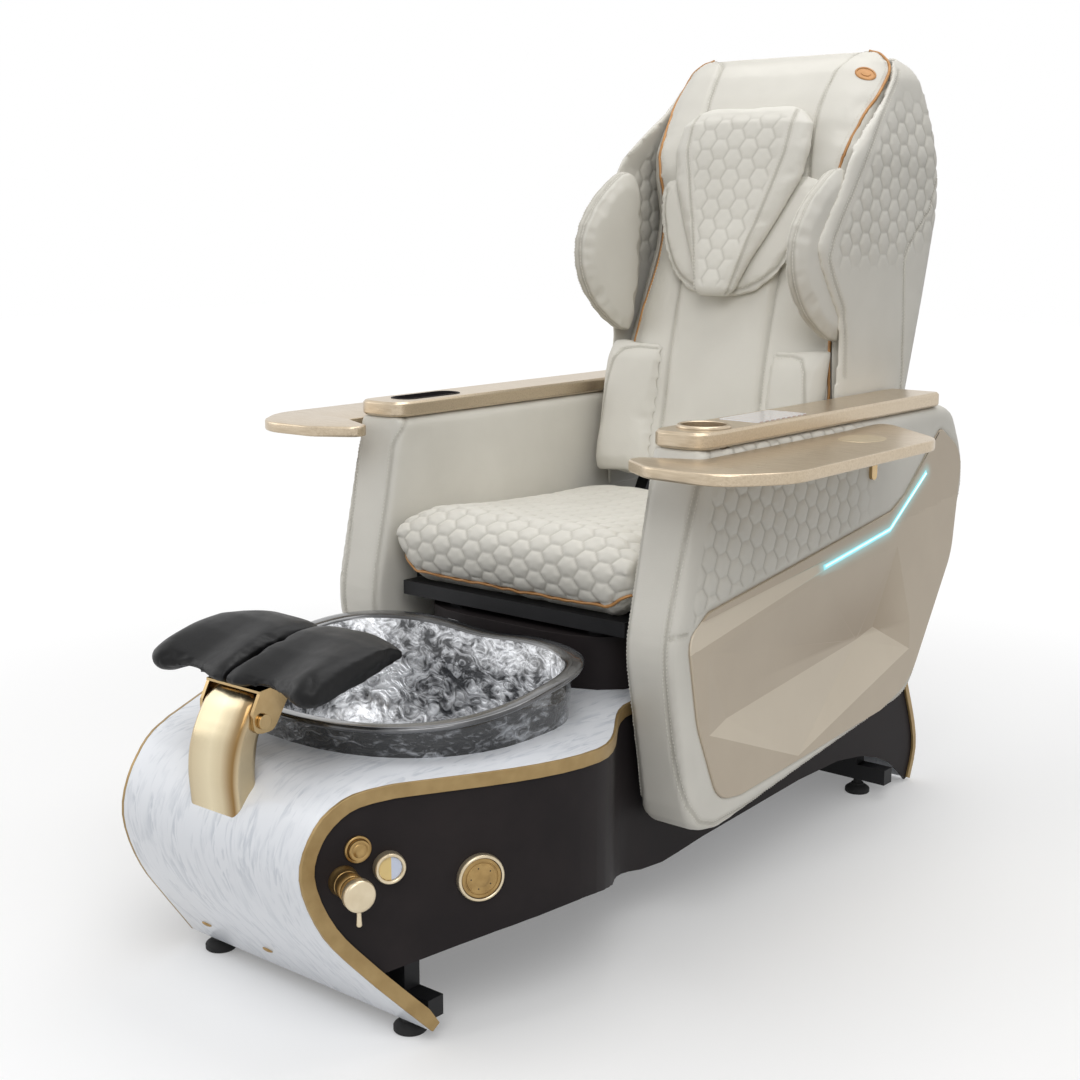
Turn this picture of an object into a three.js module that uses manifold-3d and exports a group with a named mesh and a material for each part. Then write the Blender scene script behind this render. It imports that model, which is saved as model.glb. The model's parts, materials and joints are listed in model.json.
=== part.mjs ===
// Pedicure spa chair: a reclining, sliding chair over a moulded foot-bath base.
// Millimetres, +Z up. The sitter faces -Y and the sitter's left hand is at +X.
// The origin is on the floor, at the middle of the chair's length and width.
import * as THREE from 'three';
import { mergeVertices } from 'three/addons/utils/BufferGeometryUtils.js';
import { ConvexGeometry } from 'three/addons/geometries/ConvexGeometry.js';
import Module from 'manifold-3d';

const wasm = await Module();
wasm.setup();

// ---------------------------------------------------------------- driving dimensions
const GAP = 0.3;                    // clearance between pieces that touch
const SIDES = [['right', -1], ['left', 1]];
const FACETS = 16;                  // sides of a small round piece

// base: side profile and plan
const LENGTH = 1596;                // nose of the base to its rear edge
const DECK_Z = 385;                 // top of the moulded deck
const SHELL_WALL = 6;               // moulded skin
const NOSE_Z = 276;                 // height where the front stands furthest out
const TIP_SETBACK = 169;            // how far the front tip runs back under the nose
const TIP_Z = 20;                   // clearance of the front tip over the floor
const NOSE_HALF_WIDTH = 190;
const BULGE_HALF_WIDTH = 358;       // widest place of the deck, beside the bowl
const WAIST_Y = -166;               // where the base is drawn in between the arms
const WAIST_PLAY = 8;               // base to the inner face of each arm
const WAIST_LENGTH = 215;           // widest place to the waist
const TRIM_DEPTH = 20;              // height of the gold edge band
const TRIM_REAR = 12;
const TRIM_THICK = 5;
const SKIRT_THICK = 4;
const REAR_SHELL_LENGTH = 198;      // rear cover, from the end of the deck

// frame and feet
const TUBE = 30;                    // square tube
const FOOT_X = 206;
const FRONT_FOOT_SETBACK = 182;     // nose to the front feet
const REAR_FOOT_INSET = 146;        // rear edge to the rear feet
const REAR_CROSS_HALF = 272;
const REAR_CROSS_Z = 30;            // underside of the rear cross tube
const FRONT_CROSS_Z = 34;
const RAIL_FRAME_Z = 165;           // underside of the long tubes
const LONG_TUBE_X = 196;
const FOOT_PAD_R = 24;
const FOOT_STEM_R = 8;
const FRONT_CROSS_REACH = 50;       // foot to the end of the front cross tube

// bowl
const BOWL_HALF_WIDTH = 276;
const BOWL_SETBACK = 138;           // nose to the front of the rim
const BOWL_LEAD = 42;               // rear of the rim to the waist
const BOWL_FRONT_SHARE = 247 / 452; // how much of the bowl's length is before its widest place
const BOWL_RIM_FRONT_Z = 433;
const BOWL_RIM_REAR_Z = 474;
const BOWL_RIM_DIP = 8;
const BOWL_FLANGE = 17;
const BOWL_WALL = 9;
const BOWL_FLOOR_Z = 262;           // outside bottom
const DRAIN_R = 26;

// footrest
const POST_HALF = 50;                // at the pin; the post flares towards its foot
const PIN_SETBACK = 60;             // nose to the hinge pin
const PIN_Z = 451;
const PIN_R = 6;
const PAD_RISE = 40;                // pin to the underside of the pads at their front edge
const PAD_SLOPE = 23;               // how much higher the underside is at the rear edge
const PAD_FRONT_THICK = 30;
const PAD_REAR_THICK = 43;
const PAD_HALF_WIDTH = 170;
const PAD_SPLIT = 3;                // half the slit between the two pads
const PAD_LENGTH = 210;
const PAD_FRONT = 28;               // pin to the front edge of the pads

// side controls
const BUTTON_R = 15;
const BUTTON_TRAVEL = 4;
const MIXER_R = 22;
const MIXER_REACH = 36;              // panel to the end of the mixer's fixed body
const MIXER_TILT_RISE = 15;          // end of the body to the cross pin the lever rocks on
const SHOWER_R = 34;
const EYELET_Z = 50;                // height of the screw caps on the lower front

// plinth, rails and slide
const PLINTH_HALF = 230;
const PLINTH_FRONT_Y = -178;
const PLINTH_REAR_Y = 560;
const PLINTH_TOP_Z = 472;
const PLINTH_CORNER = 150;
const RAIL_X = 150;
const RAIL_WIDTH = 24;
const RAIL_HEIGHT = 9;
const RUNNER_WALL = 5;
const SLIDE_TRAVEL = 120;

// seat
const SEAT_HALF = 258;
const SEAT_FRONT_Y = -200;
const SEAT_REAR_Y = 372;
const SEAT_UNDER_Z = 507;
const SEAT_THICK = 132;
const SEAT_REAR_THICK = 112;
const PAN_THICK = 24;

// arms
const ARM_PLAY = 6;                 // seat cushion to arm panel
const ARM_WIDTH = 100;
const ARM_FRONT_Y = -209;           // foremost point of the arm panel
const ARM_FRONT_Z = 470;
const ARM_BOTTOM_Z = 179;
const ARM_TOP_Z = 782;
const ARM_REAR_Y = 736;
const ARM_REAR_Z = 668;
const ARM_ROUND = 15;
const BAR_THICK = 26;
const BAR_FRONT_Y = -148;
const BAR_REAR_Y = 616;
const INLAY_DEPTH = 30;
const INLAY_PROUD = 2;
const SCOOP_DEPTH = 26;
const LIGHT_WIDTH = 9;
const LIGHT_DEPTH = 4;
const CUP_R = 35;
const CUP_DEPTH = 62;
const CUP_Y = -72;
const POCKET_LENGTH = 150;
const POCKET_WIDTH = 52;
const POCKET_DEPTH = 58;
const POCKET_Y = -25;
const SCREEN_LENGTH = 150;
const SCREEN_WIDTH = 74;
const SCREEN_Y = 96;
const SCREEN_THICK = 8;

// trays
const TRAY_TOP_Z = 774;
const TRAY_THICK = 18;
const TRAY_HALF_SPAN = 542;         // centre of the chair to the tray's outer edge
const PIVOT_OUT = 16;               // arm panel to the tray's pivot
const PIVOT_Y = 367;
const PIVOT_R = 6;
const BRACKET_HALF = 9;
const BRACKET_LENGTH = 78;

// backrest
const BACK_OVERHANG = 1;            // how far the backrest is wider than the seat at each side
const BACK_TOP_Z = 1428;
const BACK_PIVOT_Y = 452;
const BACK_PIVOT_Z = 545;
const BACK_PIVOT_R = 9;
const BACK_WALL = 11;
const SHELL_ROUND = 26;             // rounding of the shell's edges
const COLUMN_HALF = 107;            // half width of the padded centre column

// ---------------------------------------------------------------- values that follow
const NOSE_Y = -LENGTH / 2;
const ARM_INNER_X = SEAT_HALF + ARM_PLAY;
const WAIST_HALF_WIDTH = ARM_INNER_X - WAIST_PLAY;
const BACK_HALF = SEAT_HALF + BACK_OVERHANG;
const REAR_Y = LENGTH / 2;
const TIP_Y = NOSE_Y + TIP_SETBACK;
const BULGE_Y = WAIST_Y - WAIST_LENGTH;
const BULGE_SETBACK = BULGE_Y - NOSE_Y;
const REAR_SHELL_START = REAR_Y - REAR_SHELL_LENGTH;
const BOWL_LENGTH = WAIST_Y - BOWL_LEAD - (NOSE_Y + BOWL_SETBACK);
const BOWL_FRONT = BOWL_LENGTH * BOWL_FRONT_SHARE;
const BOWL_REAR = BOWL_LENGTH - BOWL_FRONT;
const BOWL_Y = NOSE_Y + BOWL_SETBACK + BOWL_FRONT;
const FRONT_FOOT_Y = NOSE_Y + FRONT_FOOT_SETBACK;
const REAR_FOOT_Y = REAR_Y - REAR_FOOT_INSET;
const LONG_TUBE_TOP = RAIL_FRAME_Z + TUBE;
const PIN_Y = NOSE_Y + PIN_SETBACK;
const RAIL_TOP_Z = PLINTH_TOP_Z + GAP + RAIL_HEIGHT;
const PAN_Z = SEAT_UNDER_Z - GAP - PAN_THICK;
const ARM_OUTER_X = ARM_INNER_X + ARM_WIDTH;
const ARM_MID_X = ARM_INNER_X + ARM_WIDTH / 2;
const BAR_TOP_Z = ARM_TOP_Z + GAP + BAR_THICK;
const PIVOT_X = ARM_OUTER_X + PIVOT_OUT;

// ---------------------------------------------------------------- materials
const leather = new THREE.MeshStandardMaterial({ color: 0xd8d6cd, roughness: 0.55, metalness: 0 });
const champagne = new THREE.MeshStandardMaterial({ color: 0xc8b9a0, roughness: 0.3, metalness: 0.85 });
const inlayPaint = new THREE.MeshStandardMaterial({ color: 0xb8aa96, roughness: 0.45, metalness: 0.3 });
const lightStrip = new THREE.MeshStandardMaterial({ color: 0x82d7e1, roughness: 0.4, metalness: 0 });
const whiteShell = new THREE.MeshStandardMaterial({ color: 0xecf0f4, roughness: 0.35, metalness: 0 });
const goldTrim = new THREE.MeshStandardMaterial({ color: 0xaa915f, roughness: 0.4, metalness: 0.7 });
const blackPanel = new THREE.MeshStandardMaterial({ color: 0x232021, roughness: 0.5, metalness: 0 });
const blackSteel = new THREE.MeshStandardMaterial({ color: 0x1c1c1e, roughness: 0.5, metalness: 0.6 });
const blackRubber = new THREE.MeshStandardMaterial({ color: 0x151515, roughness: 0.8, metalness: 0 });
const blackPad = new THREE.MeshStandardMaterial({ color: 0x222325, roughness: 0.6, metalness: 0 });
const smokeGlass = new THREE.MeshStandardMaterial({ color: 0x3a3d40, roughness: 0.1, metalness: 0 });
const polishedGold = new THREE.MeshStandardMaterial({ color: 0xb8945c, roughness: 0.2, metalness: 1 });
const bronze = new THREE.MeshStandardMaterial({ color: 0x9c7f56, roughness: 0.3, metalness: 1 });
const brightSteel = new THREE.MeshStandardMaterial({ color: 0xc9cbcd, roughness: 0.25, metalness: 1 });
const greyPlastic = new THREE.MeshStandardMaterial({ color: 0x8f9296, roughness: 0.5, metalness: 0 });
const dialFace = new THREE.MeshStandardMaterial({ color: 0xc9c4a8, roughness: 0.4, metalness: 0 });
const screenGlass = new THREE.MeshStandardMaterial({ color: 0xdfe3ec, roughness: 0.15, metalness: 0 });

// ---------------------------------------------------------------- solid helpers
function solid(geometry) {
  const bare = geometry.index ? geometry.toNonIndexed() : geometry.clone();
  for (const name of Object.keys(bare.attributes)) if (name !== 'position') bare.deleteAttribute(name);
  const merged = mergeVertices(bare, 1e-4);
  return new wasm.Manifold(new wasm.Mesh({
    numProp: 3,
    vertProperties: new Float32Array(merged.attributes.position.array),
    triVerts: new Uint32Array(merged.index.array),
  }));
}

function asGeometry(body) {
  const mesh = body.getMesh();
  const geometry = new THREE.BufferGeometry();
  geometry.setAttribute('position', new THREE.BufferAttribute(mesh.vertProperties, 3));
  geometry.setIndex(new THREE.BufferAttribute(mesh.triVerts, 1));
  return geometry;
}

const group = new THREE.Group();

function add(name, body, material, parent = group) {
  const geometry = body.isBufferGeometry ? body : asGeometry(body);
  geometry.computeVertexNormals();
  const mesh = new THREE.Mesh(geometry, material);
  mesh.name = name;
  parent.add(mesh);
  return mesh;
}

const point2 = ([a, b]) => new THREE.Vector2(a, b);

function polygon(points) {
  return new THREE.Shape(points.map(point2));
}

// smooth open curve through the given points, as a list of [a, b]
function through(points, steps) {
  return new THREE.SplineCurve(points.map(point2)).getPoints(steps).map((p) => [p.x, p.y]);
}

// straight-sided outline with every corner rounded; a corner is [a, b, radius]
function rounded(corners, steps = 3) {
  const count = corners.length;
  const points = [];
  corners.forEach(([a, b, radius], i) => {
    const here = new THREE.Vector2(a, b);
    const before = point2(corners[(i + count - 1) % count]).sub(here);
    const after = point2(corners[(i + 1) % count]).sub(here);
    if (!radius) {
      points.push([a, b]);
      return;
    }
    const half = before.angleTo(after) / 2;
    const reach = Math.min(radius / Math.tan(half), before.length() / 2, after.length() / 2);
    const start = here.clone().addScaledVector(before.normalize(), reach);
    const end = here.clone().addScaledVector(after.normalize(), reach);
    const bend = new THREE.QuadraticBezierCurve(start, here, end);
    for (const p of bend.getPoints(steps)) points.push([p.x, p.y]);
  });
  return polygon(points);
}

function extrude(shape, depth, bevel = 0, bevelSegments = 2, curveSegments = 12) {
  const settings = { depth: depth - 2 * bevel, bevelEnabled: bevel > 0, curveSegments };
  Object.assign(settings, { bevelThickness: bevel, bevelSize: bevel, bevelOffset: -bevel, bevelSegments });
  return new THREE.ExtrudeGeometry(shape, settings).translate(0, 0, bevel);
}

// a shape drawn in (y, z) becomes a solid between x0 and x1
function alongX(shape, x0, x1, bevel = 0, bevelSegments = 2) {
  const turn = new THREE.Matrix4().set(0, 0, 1, x0, 1, 0, 0, 0, 0, 1, 0, 0, 0, 0, 0, 1);
  return solid(extrude(shape, x1 - x0, bevel, bevelSegments).applyMatrix4(turn));
}

// a shape drawn in (x, z) becomes a solid between y0 and y1
function alongY(shape, y0, y1, bevel = 0) {
  const turn = new THREE.Matrix4().set(1, 0, 0, 0, 0, 0, -1, y1, 0, 1, 0, 0, 0, 0, 0, 1);
  return solid(extrude(shape, y1 - y0, bevel).applyMatrix4(turn));
}

// a shape drawn in (x, y) becomes a solid between z0 and z1
function alongZ(shape, z0, z1, bevel = 0, bevelSegments = 2) {
  return solid(extrude(shape, z1 - z0, bevel, bevelSegments).translate(0, 0, z0));
}

function box(x0, x1, y0, y1, z0, z1) {
  const block = new THREE.BoxGeometry(x1 - x0, y1 - y0, z1 - z0);
  return solid(block.translate((x0 + x1) / 2, (y0 + y1) / 2, (z0 + z1) / 2));
}

// a box given by |x|, placed on one side of the chair
function sideBox(side, xNear, xFar, y0, y1, z0, z1) {
  const [x0, x1] = side > 0 ? [xNear, xFar] : [-xFar, -xNear];
  return box(x0, x1, y0, y1, z0, z1);
}

// a revolved solid about +Z; the profile is a list of [radius, z] that starts and ends on the axis
function turned(profile, segments = FACETS) {
  return outward(new THREE.LatheGeometry(profile.map(point2), segments).rotateX(Math.PI / 2));
}

// a revolved ring about +Z, from a closed profile clear of the axis
function ring(profile, segments = FACETS) {
  return turned([...profile, profile[0]], segments);
}

function cylinder(radius, x, y, z0, z1, segments = FACETS) {
  const pin = new THREE.CylinderGeometry(radius, radius, z1 - z0, segments).rotateX(Math.PI / 2);
  return solid(pin.translate(x, y, (z0 + z1) / 2));
}

function pinX(radius, x0, x1, y, z, segments = FACETS) {
  const pin = new THREE.CylinderGeometry(radius, radius, x1 - x0, segments).rotateZ(Math.PI / 2);
  return solid(pin.translate((x0 + x1) / 2, y, z));
}

function mirrorX(body) {
  return body.mirror([1, 0, 0]);
}

// closed skin over a row of rings that all have the same number of points
function loft(rings, wrapRows = false) {
  const rows = rings.length;
  const columns = rings[0].length;
  const positions = rings.flat().flatMap((p) => [p.x, p.y, p.z]);
  const index = [];
  for (let i = 0; i < (wrapRows ? rows : rows - 1); i += 1) {
    for (let j = 0; j < columns; j += 1) {
      const a = i * columns + j;
      const b = i * columns + ((j + 1) % columns);
      const c = ((i + 1) % rows) * columns + j;
      const d = ((i + 1) % rows) * columns + ((j + 1) % columns);
      index.push(a, b, d, a, d, c);
    }
  }
  if (!wrapRows) {
    for (const [row, flip] of [[0, true], [rows - 1, false]]) {
      const centre = new THREE.Vector3();
      rings[row].forEach((p) => centre.addScaledVector(p, 1 / columns));
      const hub = positions.length / 3;
      positions.push(centre.x, centre.y, centre.z);
      for (let j = 0; j < columns; j += 1) {
        const a = row * columns + j;
        const b = row * columns + ((j + 1) % columns);
        index.push(...(flip ? [hub, b, a] : [hub, a, b]));
      }
    }
  }
  const geometry = new THREE.BufferGeometry();
  geometry.setAttribute('position', new THREE.Float32BufferAttribute(positions, 3));
  geometry.setIndex(index);
  return outward(geometry);
}

// turns the faces of a closed skin so that they point out
function outward(geometry) {
  const p = geometry.attributes.position;
  const index = geometry.index.array;
  const [a, b, c] = [new THREE.Vector3(), new THREE.Vector3(), new THREE.Vector3()];
  let volume = 0;
  for (let i = 0; i < index.length; i += 3) {
    a.fromBufferAttribute(p, index[i]);
    b.fromBufferAttribute(p, index[i + 1]);
    c.fromBufferAttribute(p, index[i + 2]);
    volume += a.dot(b.cross(c));
  }
  if (volume < 0) {
    for (let i = 0; i < index.length; i += 3) [index[i], index[i + 1]] = [index[i + 1], index[i]];
  }
  return geometry;
}

const smooth = (t) => {
  const s = THREE.MathUtils.clamp(t, 0, 1);
  return s * s * (3 - 2 * s);
};
const mix = THREE.MathUtils.lerp;
const signedPower = (value, power) => Math.sign(value) * Math.abs(value) ** power;

// ---------------------------------------------------------------- base outlines
// half width of the base in plan: flares from the nose, bulges beside the bowl, draws in to the waist
function halfWidth(y) {
  if (y >= BULGE_Y) return mix(BULGE_HALF_WIDTH, WAIST_HALF_WIDTH, smooth((y - BULGE_Y) / WAIST_LENGTH));
  const t = Math.max(0, (y - NOSE_Y) / BULGE_SETBACK);
  const flare = 0.5 * t * (1 - t) ** 2 + smooth(t);
  return mix(NOSE_HALF_WIDTH, BULGE_HALF_WIDTH, flare);
}

const PLAN_STATIONS = [];
for (let i = 0; i <= 12; i += 1) PLAN_STATIONS.push(mix(NOSE_Y, BULGE_Y, i / 12));
for (let i = 1; i <= 9; i += 1) PLAN_STATIONS.push(mix(BULGE_Y, WAIST_Y, i / 9));
PLAN_STATIONS.push(REAR_Y + TRIM_REAR);
PLAN_STATIONS[0] = NOSE_Y - SHELL_WALL;

// plan outline of a piece that fills the base up to `inset` from its side
function planOutline(inset) {
  const edge = PLAN_STATIONS.map((y) => [halfWidth(y) - inset, y]);
  return polygon([...edge, ...edge.map(([x, y]) => [-x, y]).reverse()]);
}

// plan outline of a side sheet between two insets
function planStrip(side, outer, inner) {
  const near = PLAN_STATIONS.map((y) => [side * (halfWidth(y) - outer), y]);
  const far = PLAN_STATIONS.map((y) => [side * (halfWidth(y) - inner), y]);
  return polygon([...near, ...far.reverse()]);
}

// side profile of the base as [y, z]: front tip, nose, deck and rear curve
const FRONT_CURVE = through([
  [TIP_Y, TIP_Z],
  [NOSE_Y + 83, mix(TIP_Z, NOSE_Z, 0.39)],
  [NOSE_Y + 28, mix(TIP_Z, NOSE_Z, 0.68)],
  [NOSE_Y, NOSE_Z],
  [NOSE_Y + 20, mix(NOSE_Z, DECK_Z, 0.56)],
  [NOSE_Y + 66, mix(NOSE_Z, DECK_Z, 0.91)],
  [NOSE_Y + 126, DECK_Z],
], 22);
const REAR_CURVE = through([
  [REAR_SHELL_START, DECK_Z],
  [REAR_Y - 108, DECK_Z - 62],
  [REAR_Y - 37, DECK_Z - 198],
  [REAR_Y, 78],
  [REAR_Y - 20, 4],
], 14);

// the same curve moved inwards (down and towards the middle) by d
function insetCurve(curve, d) {
  return curve.map(([y, z], i) => {
    const [y0, z0] = curve[Math.max(0, i - 1)];
    const [y1, z1] = curve[Math.min(curve.length - 1, i + 1)];
    const length = Math.hypot(y1 - y0, z1 - z0);
    return [y + ((z1 - z0) / length) * d, z - ((y1 - y0) / length) * d];
  });
}

function curveBand(curve, outer, inner) {
  return polygon([...insetCurve(curve, outer), ...insetCurve(curve, inner).reverse()]);
}

// ---------------------------------------------------------------- bowl outline
// the bowl in plan: broad and square at the back, round at the front; r = 1 is the rim
function bowlPoint(angle, shrink) {
  const [c, s] = [Math.cos(angle), Math.sin(angle)];
  const squareness = s > 0 ? 2 / 3.1 : 2 / 2.2;
  const reach = (s > 0 ? BOWL_REAR : BOWL_FRONT) - shrink;
  return [
    (BOWL_HALF_WIDTH - shrink) * signedPower(c, squareness),
    BOWL_Y + reach * signedPower(s, squareness),
  ];
}

const BOWL_STEPS = 36;

function bowlRing(shrink, z) {
  const points = [];
  for (let i = 0; i < BOWL_STEPS; i += 1) {
    const [x, y] = bowlPoint((i / BOWL_STEPS) * Math.PI * 2, shrink);
    points.push(new THREE.Vector3(x, y, typeof z === 'function' ? z(x, y) : z));
  }
  return points;
}

// height of the rim: rises towards the sitter and dips a little in the middle of the back
function rimHeight(x, y) {
  const along = (y - (BOWL_Y - BOWL_FRONT)) / (BOWL_FRONT + BOWL_REAR);
  const dip = BOWL_RIM_DIP * smooth(along * 3 - 2) * Math.exp(-((x / 75) ** 2));
  return mix(BOWL_RIM_FRONT_Z, BOWL_RIM_REAR_Z, smooth(along)) - dip;
}

const BOWL_DECK_SHRINK = BOWL_FLANGE + 5;

// ---------------------------------------------------------------- base
function buildBase() {
  const inset = TRIM_THICK + GAP;
  const whole = [...FRONT_CURVE, [REAR_SHELL_START - 40, DECK_Z], ...REAR_CURVE];
  const skin = alongX(curveBand(whole, 0, SHELL_WALL), -BULGE_HALF_WIDTH, BULGE_HALF_WIDTH)
    .intersect(alongZ(planOutline(inset), 0, DECK_Z + 10));
  const bowlHole = polygon(bowlRing(BOWL_DECK_SHRINK - GAP, 0).map((p) => [p.x, p.y]));
  const bowlCut = alongZ(bowlHole, DECK_Z - 60, DECK_Z + 60);
  const rearPart = box(-BULGE_HALF_WIDTH, BULGE_HALF_WIDTH, REAR_SHELL_START, REAR_Y + 10, 0, DECK_Z + 10);
  add('base_shell', skin.subtract(rearPart.translate([0, -GAP, 0])).subtract(bowlCut), whiteShell);
  add('rear_shell', skin.intersect(rearPart), whiteShell);

  // edge band: the front and deck carry the full depth, the rear edge is slim
  const frontInner = insetCurve([...FRONT_CURVE, [WAIST_Y + 30, DECK_Z]], TRIM_DEPTH);
  frontInner[0] = [TIP_Y + 9, TIP_Z + 12];
  const rearInner = insetCurve(REAR_CURVE, TRIM_REAR);
  const band = polygon([...whole, ...rearInner.reverse(), ...frontInner.reverse()]);

  // side panel: hangs behind the band, its lower edge arches between the two ends
  const skirtTop = insetCurve(whole, SHELL_WALL + GAP);
  const lowerEdge = through([
    [REAR_Y - 34, 4],
    [REAR_Y - 130, 72],
    [REAR_Y - 330, 116],
    [60, 101],
    [WAIST_Y + 70, 92],
    [BULGE_Y + 130, 124],
    [BULGE_Y + 45, 158],
    [BULGE_Y - 37, 168],
    [BULGE_Y - 155, 152],
    [TIP_Y - 17, 126],
    [TIP_Y - 65, 115],
  ], 26);
  skirtTop.splice(0, 3);
  const panel = polygon([...skirtTop, ...lowerEdge]);
  for (const [label, side] of SIDES) {
    const bandStrip = alongZ(planStrip(side, 0, TRIM_THICK), 0, DECK_Z + 10);
    add(`gold_trim_${label}`, alongX(band, -400, 400).intersect(bandStrip), goldTrim);
    const panelStrip = alongZ(planStrip(side, inset, inset + SKIRT_THICK), 0, DECK_Z + 10);
    let sheet = alongX(panel, -400, 400).intersect(panelStrip);
    for (const hole of controlBores(side)) sheet = sheet.subtract(hole);
    add(`side_skirt_${label}`, sheet, blackPanel);
  }
}

function buildFrame() {
  const half = TUBE / 2;
  const frontHalf = FOOT_X + FRONT_CROSS_REACH;
  const crosses = [[FRONT_FOOT_Y, FRONT_CROSS_Z, frontHalf], [REAR_FOOT_Y, REAR_CROSS_Z, REAR_CROSS_HALF]];
  const uprights = [PLINTH_FRONT_Y + 60, PLINTH_REAR_Y - 60];
  const across = (x, y, z) => box(-x, x, y - half, y + half, z, z + TUBE);
  const deckUnder = DECK_Z - SHELL_WALL - GAP;
  let frame = null;
  for (const [y, z, x] of crosses) frame = frame ? frame.add(across(x, y, z)) : across(x, y, z);
  for (const y of uprights) frame = frame.add(across(LONG_TUBE_X, y, RAIL_FRAME_Z));
  for (const [, side] of SIDES) {
    const rail = [side, LONG_TUBE_X - half, LONG_TUBE_X + half];
    const span = [FRONT_FOOT_Y - half, REAR_FOOT_Y + half];
    frame = frame.add(sideBox(...rail, ...span, RAIL_FRAME_Z, LONG_TUBE_TOP));
    for (const [y, z] of crosses) {
      frame = frame.add(sideBox(...rail, y - half, y + half, z + TUBE - 1, RAIL_FRAME_Z + 1));
    }
    // uprights that carry the plinth and the deck behind the bowl
    for (const y of uprights) {
      frame = frame.add(sideBox(...rail, y - half, y + half, LONG_TUBE_TOP - 1, deckUnder));
    }
  }
  for (const [place, y, z] of crosses.map(([y, z], i) => [['front', 'rear'][i], y, z])) {
    const stemTop = z + TUBE - 6;
    for (const [label, side] of SIDES) {
      const x = side * FOOT_X;
      frame = frame.subtract(cylinder(FOOT_STEM_R + GAP, x, y, z - 1, stemTop, 14));
      const foot = turned([
        [0, 0], [FOOT_PAD_R, 0], [FOOT_PAD_R, 9], [FOOT_PAD_R - 8, 15], [FOOT_STEM_R + 4, 15],
        [FOOT_STEM_R + 4, 19], [FOOT_STEM_R, 19], [FOOT_STEM_R, stemTop - GAP], [0, stemTop - GAP],
      ], 14);
      add(`foot_${place}_${label}`, foot.translate(x, y, 0), blackRubber);
    }
  }
  add('base_frame', frame, blackSteel);
}

function buildBowl() {
  const under = (x, y) => rimHeight(x, y) - 9;
  const inner = BOWL_FLANGE + BOWL_WALL + 3;
  const floor = BOWL_FLOOR_Z;
  const rings = [
    bowlRing(BOWL_FLANGE, (x, y) => rimHeight(x, y) - 13),
    bowlRing(4, under),
    bowlRing(0, (x, y) => rimHeight(x, y) - 4),
    bowlRing(3, rimHeight),
    bowlRing(BOWL_FLANGE + BOWL_WALL - 4, rimHeight),
    bowlRing(inner, (x, y) => rimHeight(x, y) - 6),
    bowlRing(inner + 8, DECK_Z),
    bowlRing(inner + 22, mix(floor, DECK_Z, 0.45)),
    bowlRing(inner + 50, mix(floor, DECK_Z, 0.17)),
    bowlRing(inner + 92, floor + BOWL_WALL + 2),
    circleRing(DRAIN_R, floor + BOWL_WALL),
    circleRing(DRAIN_R, floor),
    bowlRing(inner + 80, floor),
    bowlRing(inner + 40, mix(floor, DECK_Z, 0.1)),
    bowlRing(inner + 12, mix(floor, DECK_Z, 0.42)),
    bowlRing(BOWL_DECK_SHRINK, DECK_Z - 2),
  ];
  add('tub_bowl', loft(rings, true), smokeGlass);

  const drainZ = floor + BOWL_WALL;
  const strainer = ring([
    [10, drainZ + 0.5], [DRAIN_R + 8, drainZ + GAP], [DRAIN_R + 8, drainZ + 2], [DRAIN_R, drainZ + 4],
    [12, drainZ + 3],
  ]);
  let basket = solid(strainer);
  for (let i = 0; i < 3; i += 1) {
    const bar = solid(new THREE.BoxGeometry(2 * DRAIN_R - 10, 3, 2.4));
    basket = basket.add(bar.rotate([0, 0, 60 * i]).translate([0, 0, drainZ + 1.9]));
  }
  add('drain_strainer', basket.translate([0, BOWL_Y, 0]), brightSteel);

  const tailpipe = ring([
    [DRAIN_R - 6, drainZ - 0.2], [DRAIN_R - GAP, drainZ - 0.2], [DRAIN_R - GAP, floor - GAP],
    [DRAIN_R + 14, floor - GAP], [DRAIN_R + 14, floor - 12], [DRAIN_R - 3, floor - 12],
    [DRAIN_R - 3, floor - 70], [DRAIN_R - 6, floor - 70],
  ]);
  add('drain_tailpipe', tailpipe.translate(0, BOWL_Y, 0), greyPlastic);
}

function circleRing(radius, z) {
  const points = [];
  for (let i = 0; i < BOWL_STEPS; i += 1) {
    const angle = (i / BOWL_STEPS) * Math.PI * 2;
    points.push(new THREE.Vector3(radius * Math.cos(angle), BOWL_Y + radius * Math.sin(angle), z));
  }
  return points;
}

// ---------------------------------------------------------------- side controls
const SKIRT_FACE = TRIM_THICK + GAP;
const CONTROLS = {
  button: { setback: 82, z: 301, bore: BUTTON_R + 3 },
  thermometer: { setback: 120, z: 270, bore: 18 },
  mixer: { setback: 62, z: 261, bore: 15 },
  shower: { setback: 234, z: 235, bore: SHOWER_R - 1 },
};

// frame of a control on the left panel: local +Z points straight out of the panel, local +Y is up
function controlFrame({ setback, z }) {
  const y = NOSE_Y + setback;
  const slope = (halfWidth(y + 4) - halfWidth(y - 4)) / 8;
  const out = new THREE.Vector3(1, -slope, 0).normalize();
  const up = new THREE.Vector3(0, 0, 1);
  const across = new THREE.Vector3().crossVectors(up, out);
  const frame = new THREE.Matrix4().makeBasis(across, up, out);
  return frame.setPosition(halfWidth(y) - SKIRT_FACE, y, z);
}

function controlBores(side) {
  if (side < 0) return [];
  return Object.values(CONTROLS).map((control) => {
    const bore = new THREE.CylinderGeometry(control.bore + GAP, control.bore + GAP, 60, FACETS);
    return solid(bore.rotateX(Math.PI / 2).applyMatrix4(controlFrame(control)));
  });
}

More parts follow.
